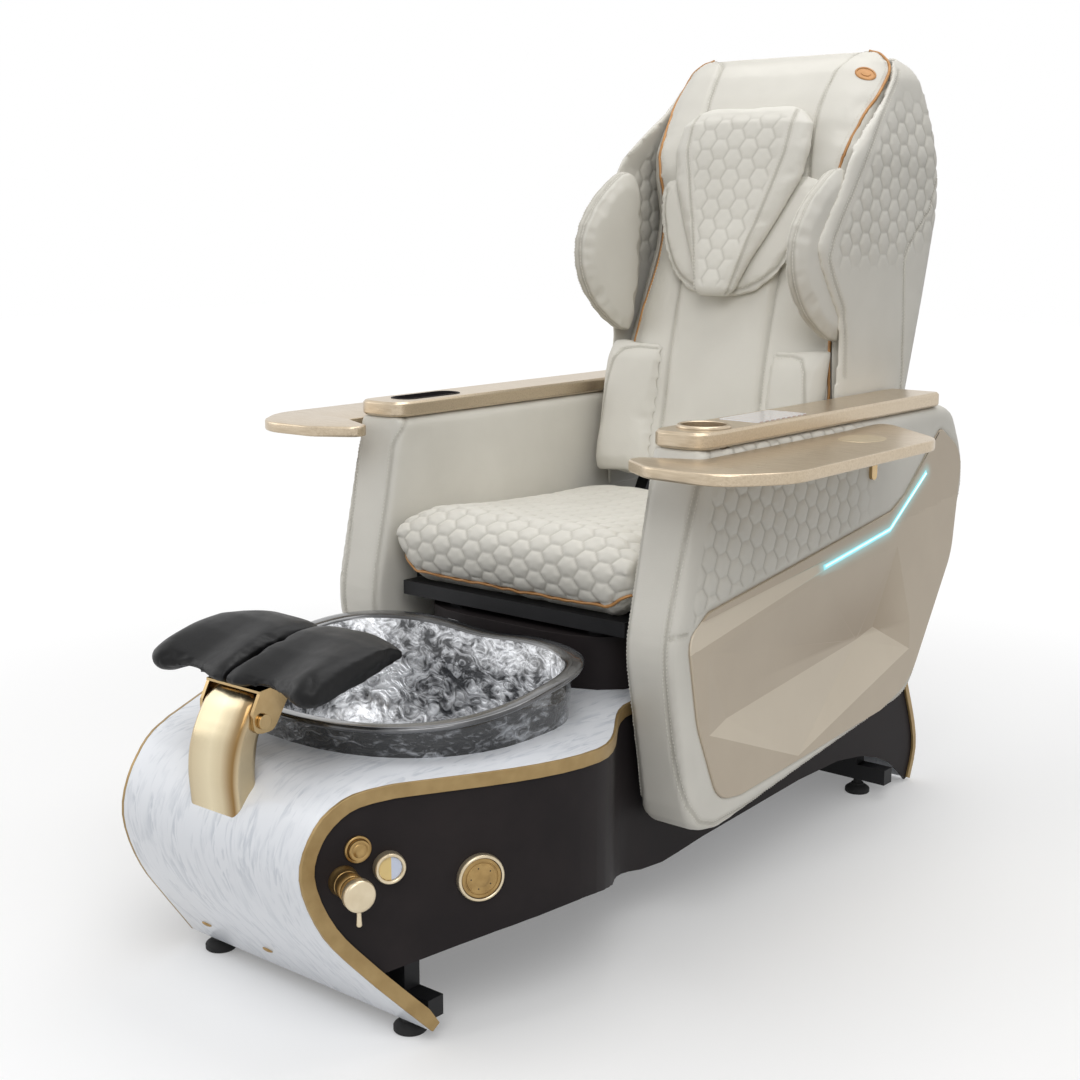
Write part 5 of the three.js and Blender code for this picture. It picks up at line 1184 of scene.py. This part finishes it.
SCOOP = np.array([
    # y, z and x of the hollow's corners; the hollow is the lower side of their convex hull
    [-117, 340, 366], [-125, 470, 366], [200, 534, 366], [470, 545, 366], [528, 400, 366], [531, 345, 366],
    [150, 238, 366], [-59, 352, 358], [378, 388, 340], [430, 402, 344]], float)
LIGHT_LINE = [(0, 213, 549), (0, 438, 580), (0, 568, 667)]


def scoop_planes():
    """The hull's lower faces, planes x = a y + b z + c that no corner lies below, and the edges of them."""
    planes, creases = [], set()
    for trio in itertools.combinations(range(len(SCOOP)), 3):
        corners = SCOOP[list(trio)]
        matrix = np.column_stack([corners[:, :2], np.ones(3)])
        if abs(np.linalg.det(matrix)) < 1:
            continue
        plane = np.linalg.solve(matrix, corners[:, 2])
        if (SCOOP[:, 2] - SCOOP[:, :2] @ plane[:2] - plane[2]).min() > -1e-6:
            planes.append(plane)
            creases.update(itertools.combinations(trio, 2))
    return np.array(planes), sorted(creases)


PLANES, CREASES = scoop_planes()
BAND_START, BAND_END = -152, 236


def band_lines(y):
    """Lower edge of the strip along the inlay's top, and the foot of the band under it, which is painted pale
    as a highlight.
    """
    return 523 + (y + 149) * 0.104, 481 + (y - BAND_START) * 0.173


def inlay_face(y, z):
    """Height of the inlay's face, its painted shade from 0, dark, to 1, pale, and the painted light and shade
    that its facets add to it.
    """
    heights = np.stack([y, z], 1) @ PLANES[:, :2].T + PLANES[:, 2]
    hull = heights.max(1)
    x = np.minimum(INLAY_FACE, hull)
    head, foot = band_lines(y)
    down = (head - z) / (head - foot)
    in_band = (down >= 0) & (down <= 1) & (y < BAND_END)
    fade = smooth((BAND_END - y) / 60)
    x = x + in_band * fade * mix(-3.2, 0.4, np.clip(down, 0, 1))
    # painted shade darkens the hollow; painted light makes the ledge and the band paler, and the face above
    # the strip a little darker
    hollow = smooth((INLAY_FACE - hull) / 24) * smooth((y + 80) / 420)
    ledge = (PLANES[heights.argmax(1), 1] < -0.05) & (hull < INLAY_FACE - 0.05)
    facet = 0.3 * ledge + 0.36 * in_band * fade - 0.08 * (z > head)
    return x, 0.54 - 0.3 * hollow * (z > 392), facet


def inlay(label, side):
    """The side inlay: its outline, its creases and a grid triangulated together and lifted to the face."""
    count = len(INLAY_OUTLINE)
    ring = [(k, (k + 1) % count) for k in range(count)]
    points, links = [], []

    def add(more, pairs=()):
        links.extend((a + len(points), b + len(points)) for a, b in pairs)
        points.extend(more)

    inward = INLAY_OUTLINE.mean(0) - INLAY_OUTLINE
    add(INLAY_OUTLINE, ring)
    add(INLAY_OUTLINE + inward * (1.8 / np.linalg.norm(inward, axis=1))[:, None], ring)
    add(SCOOP[:, :2], CREASES)
    for which, lift in ((0, 0.0), (0, -0.8), (1, 0.0)):
        add([(y, band_lines(y)[which] + lift) for y in (BAND_START, BAND_END)], [(0, 1)])
    grid = np.stack(np.meshgrid(np.arange(-180, 720, 7.0), np.arange(215, 745, 7.0)), -1).reshape(-1, 2)
    add(grid[inside_inlay(np.insert(grid, 0, 0, axis=1)) > 5])

    got = delaunay_2d_cdt([Vector(p) for p in points], links, [], 1, 1e-4)
    plan = np.array([tuple(p) for p in got[0]])
    front = np.array(got[2])
    known = {source: k for k, sources in enumerate(got[3]) for source in sources}
    rim = [known[k] for k in range(count)]
    x, tone, _ = inlay_face(*plan.T)
    x[rim] -= 1.6
    back = np.insert(INLAY_OUTLINE, 0, INLAY_BACK, axis=1)
    verts = np.concatenate([np.column_stack([x, plan]), back])
    size = len(plan)
    walls = [[rim[a], rim[b], size + b, size + a] for a, b in ring]
    faces = [front, walls, [[size + k for k in range(count)]]]
    node = f"arm_inlay_{label}"
    obj = piece(node + "_finished", mirrored(verts, side), faces, INLAY, "chair", SLOT[node], (node,), 8)
    # painted light and shade kept for the look: the glow from the strip, the tone and each face's lighter or
    # darker facet
    glow = np.exp(-(path_distance(np.insert(plan, 0, 0, axis=1), even(LIGHT_LINE, 8)) / 11) ** 2)
    facet = inlay_face(*plan[front].mean(1).T)[2]
    keep(obj, "tone", [*tone, *np.zeros(count)])
    keep(obj, "glow", [*glow, *np.zeros(count)])
    keep(obj, "facet", [*facet, *np.zeros(count + 1)], "FACE")


for label, side in SIDES:
    inlay(label, side)


def arm_cloth(points):
    """The arm's side seen square on, turned a little to follow the arm's slope."""
    x, y, z = points.T
    return y * 0.98 + z * 0.14, z * 0.99 - y * 0.14


def arm_mask(points, normals):
    x, y, z = points.T
    inside = inside_inlay(points)
    above = smooth((-inside - 5) / 9) * (z > np.interp(y, [-175, -123, 445, 622], [500, 535, 612, 742]))
    seam_y = np.interp(z, [500, 560, 640, 730, 780], [-190, -182, -160, -136, -104])
    return above * smooth((y - seam_y - 16) / 14) * smooth((395 - y) / 120) * smooth((np.abs(x) - 352) / 8)


for label, side in SIDES:
    outer, link, inner = (mirrored(path, side) for path in (ARM_SEAM, ARM_LINK, ARM_INNER_SEAM))
    arm = soft(f"arm_panel_{label}", f"arm_cover_{label}", LEATHER, voxel=5.0, rounds=4, subdivide=0,
               taken_in=(f"arm_inlay_{label}",), shape=tucked, dense=arm_mask, fields=[
                   hexagons(arm_cloth, 38, 4.4, arm_mask), seam(outer, 3.4, 2.4), seam(link, 3.4, 2.0),
                   seam(inner, 3.4, 2.2)])
    skin = surface(arm)
    stitches(f"arm_stitches_{label}", [
        (skin, outer, 4.5), (skin, outer, -4.5), (skin, inner, 4.5), (skin, link, 4.0), (skin, link, -4.0)],
        "chair")


# ---------------------------------------------------------------- backrest
BACK_FRONT = [
    (622, 372), (680, 387), (740, 402), (850, 422), (1000, 457), (1120, 492), (1220, 522), (1320, 563),
    (1390, 612), (1420, 650),
]
BACK_EDGE = [
    (622, 410), (740, 436), (850, 456), (1000, 491), (1120, 520), (1190, 508), (1235, 516), (1284, 548),
    (1328, 590), (1381, 642), (1428, 656),
]
COVER_HALF = [
    (622, 236), (800, 240), (890, 226), (1060, 198), (1180, 202), (1270, 214), (1340, 230), (1390, 228),
    (1420, 199),
]
FLAP_SEAM = [
    (176, 656, 1426), (142, 639, 1410), (129, 608, 1382), (126, 585, 1349), (122, 563, 1312),
    (124, 540, 1268), (132, 522, 1215), (140, 508, 1170),
]


def cover_edge(low, high, inset=0.0, count=40):
    """The front cover's sewn edge: its half width and depth at each height."""
    z = np.linspace(low, high, count)
    return np.stack([table(COVER_HALF, z) - inset, table(BACK_EDGE, z) - 1, z], 1)


def flap_rise(points):
    """The head flaps stand 5 mm proud outside their seam, fading out below the head."""
    x, y, z = points.T
    seam_x = np.interp(z, [1170, 1215, 1268, 1349, 1382, 1410, 1426], [140, 132, 124, 126, 129, 142, 176])
    return 5 * smooth((np.abs(x) - seam_x - 1) / 9) * smooth((z - 1160) / 60) * smooth((690 - y) / 20)


def cushion_dips(points):
    """Soft hollows where the cover is drawn back: beside the column and across the waist."""
    x, y, z = points.T
    front = y < table(BACK_EDGE, z)
    waist = 4 * np.exp(-((z - 900) / 40) ** 2) * np.exp(-((np.abs(x) - 170) / 50) ** 2)
    column = 4.5 * smooth((104 - np.abs(x)) / 12) * smooth((1150 - z) / 80)
    return np.where(front, column - waist, 0)


COLUMN_SEAM = [(106, table(BACK_FRONT, z) + 8, z) for z in (640, 700, 800, 900, 1000, 1080, 1150)]
EDGE_SEAM = cover_edge(650, 1405, 16)
back_pad = soft("back_cushion", "back_pad", LEATHER, voxel=8, shrink=4, cap=7, rounds=4, fields=[
    swellings(flap_rise), swellings(cushion_dips), *seams(3.6, 3.2, FLAP_SEAM, COLUMN_SEAM)])
back_skin = surface(back_pad)
PIPED_EDGE = np.concatenate([cover_edge(640, 1412), [[172, 664, 1426]]])
for label, side in SIDES:
    piping(f"back_piping_{label}", back_skin, mirrored(PIPED_EDGE, side), "back", 2.9, 1.2)
stitches("back_stitches", both(
    back_skin, (FLAP_SEAM, 4.5), (FLAP_SEAM, -4.5), (COLUMN_SEAM, 5), (EDGE_SEAM, 0)), "back")

for label, side in SIDES:
    # strip of leather behind the piping, between the cover and the shell's rolled front edge
    line = cover_edge(640, 1360, 2, 60)
    outward = 15 * smooth((1345 - line[:, 2]) / 90)
    rings = np.stack([line + [-4, near, 0] + reach * np.outer(outward, [1, 0, 0])
                      for near, reach in ((5, 0), (15, 1), (30, 1), (24, 0))], 0)
    verts, faces = loft(rings.transpose(1, 0, 2))
    piece(f"back_gusset_{label}", mirrored(verts, side), faces, LEATHER, "back", "leather", angle=60)

SHELL_SEAM = [
    (226, 668, 1384), (240, 630, 1352), (250, 575, 1302), (258, 505, 1226), (259, 458, 1163),
    (259, 424, 1120), (259, 396, 1082), (259, 384, 1048), (259, 404, 1012), (259, 440, 962),
    (259, 452, 905), (259, 452, 840),
]
SHELL_REAR_SEAM = [
    (256, 774, 1196), (259, 745, 1132), (259, 712, 1107), (259, 668, 1066), (259, 653, 1040),
    (259, 660, 948), (259, 664, 828), (259, 655, 720),
]
REAR_PANEL = [
    (150, 700, 1404), (168, 760, 1300), (172, 785, 1180), (170, 780, 1080), (166, 745, 960),
    (160, 705, 830), (156, 668, 700),
]


def at_height(path, z, axis):
    """How far across, 0, or back, 1, a path that falls steadily is at the heights."""
    line = np.array(path[::-1], float)
    return np.interp(z, line[:, 2], line[:, axis])


def shell_mask(points, normals):
    x, y, z = points.T
    lead = at_height(SHELL_SEAM[:8], z, 1)
    behind = smooth((y - lead - 16) / 16)
    low = smooth((z - 1010 - 0.42 * np.maximum(y - 650, 0)) / 70)
    return behind * low * smooth((np.abs(x) - 236) / 14) * smooth((800 - y) / 30)


shell = soft("back_shell", "back_shell_cover", LEATHER, voxel=5.2, rounds=4, subdivide=0,
             dense=shell_mask, fields=[
                 hexagons(lambda p: (p[:, 1], p[:, 2]), 39, 3.4, shell_mask),
                 *seams(3.6, 2.4, SHELL_SEAM, SHELL_REAR_SEAM, REAR_PANEL)])
stitches("shell_stitches", both(
    surface(shell), (SHELL_SEAM, 4.5), (SHELL_SEAM, -4.5), (SHELL_REAR_SEAM, 4.5), (SHELL_REAR_SEAM, -4.5),
    (REAR_PANEL, 4.5)), "back")

WING_RING = [
    (470, 1202), (440, 1212), (394, 1190), (340, 1147), (303, 1097), (295, 1050), (305, 1006),
    (339, 957), (395, 914), (452, 893),
]
LUMBAR_SEAM = [
    (126, 414, 882), (168, 406, 884), (196, 396, 878), (212, 388, 850), (220, 381, 800), (224, 374, 740),
    (226, 372, 670),
]
for label, side in SIDES:
    # two seams round the wing's edge, and the deep groove between them
    ring = spline(WING_RING, 40)
    outer, inner, groove = (mirrored(np.insert(ring, 0, x, axis=1), side) for x in (241, 217, 229))
    pad = soft(f"shoulder_pad_{label}", f"wing_pad_{label}", LEATHER, voxel=5, shrink=2, cap=4, rounds=5,
               fields=[seam(outer, 3.0, 1.6), seam(inner, 3.0, 1.6), seam(groove, 5, 6.5)])
    skin = surface(pad)
    stitches(f"wing_stitches_{label}", [(skin, outer, 4.5), (skin, inner, 4.5)], "back")
    line = mirrored(LUMBAR_SEAM, side)
    pad = soft(f"lumbar_pad_{label}", f"waist_pad_{label}", LEATHER, voxel=5.5, shrink=2, cap=4, rounds=5,
               fields=[seam(line, 3.4, 2.6)])
    stitches(f"waist_stitches_{label}", [(surface(pad), line, 4.0)], "back")

PILLOW_SEAM = [
    (104, 520, 1314), (108, 490, 1275), (106, 474, 1235), (84, 456, 1157), (59, 431, 1075),
    (34, 405, 978),
]


def pillow_mask(points, normals):
    x, y, z = points.T
    seam_x = at_height(PILLOW_SEAM, z, 0)
    return (smooth((seam_x - 8 - np.abs(x)) / 8) * smooth((1306 - z) / 14) * smooth((z - 990) / 14)
            * smooth(-normals[:, 1] / 0.3))


pillow = soft("head_pillow", "head_pillow_cover", LEATHER, voxel=5, shrink=2.5, cap=5, rounds=5, fields=[
    hexagons(lambda p: (p[:, 0], p[:, 2]), 36, 2.0, pillow_mask), *seams(3.4, 2.4, PILLOW_SEAM)])
stitches("pillow_stitches", both(surface(pillow), (PILLOW_SEAM, 4.5), (PILLOW_SEAM, -4.5)), "pillow")

NAPE_SEAM = [
    (166, 480, 1172), (158, 470, 1130), (142, 455, 1078), (118, 440, 1032), (92, 432, 1008),
    (60, 426, 992), (20, 424, 986),
]
nape = soft("neck_pad", "nape_pad", LEATHER, voxel=5, shrink=2, cap=4, rounds=4,
            fields=seams(3.4, 2.2, NAPE_SEAM))
stitches("nape_stitches", both(surface(nape), (NAPE_SEAM, 4.0)), "back")


# ---------------------------------------------------------------- foot pads
def calf_hollow(points):
    """Each pad is hollowed where a calf lies, full at its front corner, and thin at its rear outer end."""
    x, y, z = points.T
    across, back = np.abs(x), (y + 766) / 210
    top = smooth((z - 478 - 23 * back) / 12)
    hollow = 13 * np.exp(-((across - 74) / 40) ** 2 - ((back - 0.1) / 0.44) ** 2)
    lobe = 8 * np.exp(-((across - 146) / 22) ** 2 - ((back - 0.06) / 0.3) ** 2)
    thin = 9 * smooth((across - 90) / 70) * smooth((back - 0.45) / 0.5)
    return top * (lobe - hollow - thin) + 2


for label, side in SIDES:
    soft(f"footrest_pad_{label}", f"foot_pad_{label}", PAD, voxel=4, shrink=2, cap=4, rounds=8,
         fields=[swellings(calf_hollow)])


def head_plate():
    """A plain oval ring and disc of copper sewn to the left head flap: an ellipse laid on the cover."""
    centre, normal = (got[0] for got in nearest(back_skin, [[186, 616, 1368]]))
    up = np.array([0.28, 0.42, 0.86])
    up -= normal * (up @ normal)
    up /= np.linalg.norm(up)
    across = np.cross(up, normal)
    turn = turns(48)[:, None]
    rings = []
    for wide, tall, lift in ((21, 14, -2), (21, 14, 1.0), (20, 13, 1.8), (17.4, 11, 1.8), (17, 10.6, 0.6),
                             (10, 6, 0.6), (9.4, 5.6, 1.7), (3, 2, 2.0)):
        ring = centre + across * np.cos(turn) * wide + up * np.sin(turn) * tall
        place, out = nearest(back_skin, ring)
        rings.append(place + out * lift)
    piece("head_plate", *loft(rings), PIPING, "back", "leather", angle=50)


head_plate()


# ---------------------------------------------------------------- stage and light
FLOOR_NEAR, FLOOR_FAR, FLOOR_REACH = 1.1, 2.4, 14
PALE, DIM, WHITE_LIGHT, BLACK = ((grey, grey, grey, 1) for grey in (0.78, 0.2, 1, 0))
SKY_LIGHT = 0.55


def floor_look():
    """Pale floor that keeps the shadow near the object and becomes plain white further out."""
    look = Look("floor", PALE, 0.9, specular_ior_level=0.1, emission_strength=1.0)
    far = look.node("ShaderNodeVectorMath", {"operation": "LENGTH"}, {0: look.coordinates()}, 1)
    fade = look.node("ShaderNodeMapRange", {"interpolation_type": "SMOOTHSTEP"}, {
        "Value": far, "From Min": FLOOR_NEAR, "From Max": FLOOR_FAR})
    look.put("Base Color", look.blend(fade, PALE, BLACK))
    look.put("Emission Color", look.blend(look.seen(), BLACK, look.blend(fade, DIM, WHITE_LIGHT)))
    return look


floor_mesh = bpy.data.meshes.new("floor")
corners = [(x * FLOOR_REACH, y * FLOOR_REACH, 0) for x, y in ((-1, -1), (1, -1), (1, 1), (-1, 1))]
floor_mesh.from_pydata(corners, [], [(0, 1, 2, 3)])
floor_mesh.materials.append(floor_look().material)
floor = bpy.data.objects.new("floor", floor_mesh)
scene.collection.objects.link(floor)

world = bpy.data.worlds.new("studio")
scene.world = world
world.use_nodes = True
sky = Nodes(world.node_tree)
background = sky.tree.nodes["Background"]
sky.join(background.inputs["Color"], WHITE_LIGHT)
sky.join(background.inputs["Strength"], sky.seen() * (1 - SKY_LIGHT) + SKY_LIGHT)


def softbox(name, place, aim, size, power):
    lamp = bpy.data.lights.new(name, "AREA")
    lamp.shape = "RECTANGLE"
    lamp.size, lamp.size_y = size
    lamp.energy = power
    holder = bpy.data.objects.new(name, lamp)
    holder.location = place
    holder.rotation_euler = (Vector(aim) - Vector(place)).to_track_quat("-Z", "Y").to_euler()
    scene.collection.objects.link(holder)


softbox("key", (2.2, -2.6, 3.4), (0, 0, 0.6), (2.4, 2.4), 62)
softbox("fill", (-3.2, -1.6, 2.0), (0, 0, 0.6), (2.6, 2.6), 26)
softbox("top", (0.2, 0.6, 3.6), (0, 0, 0.6), (2.0, 2.0), 34)
scene.view_settings.view_transform = "Standard"
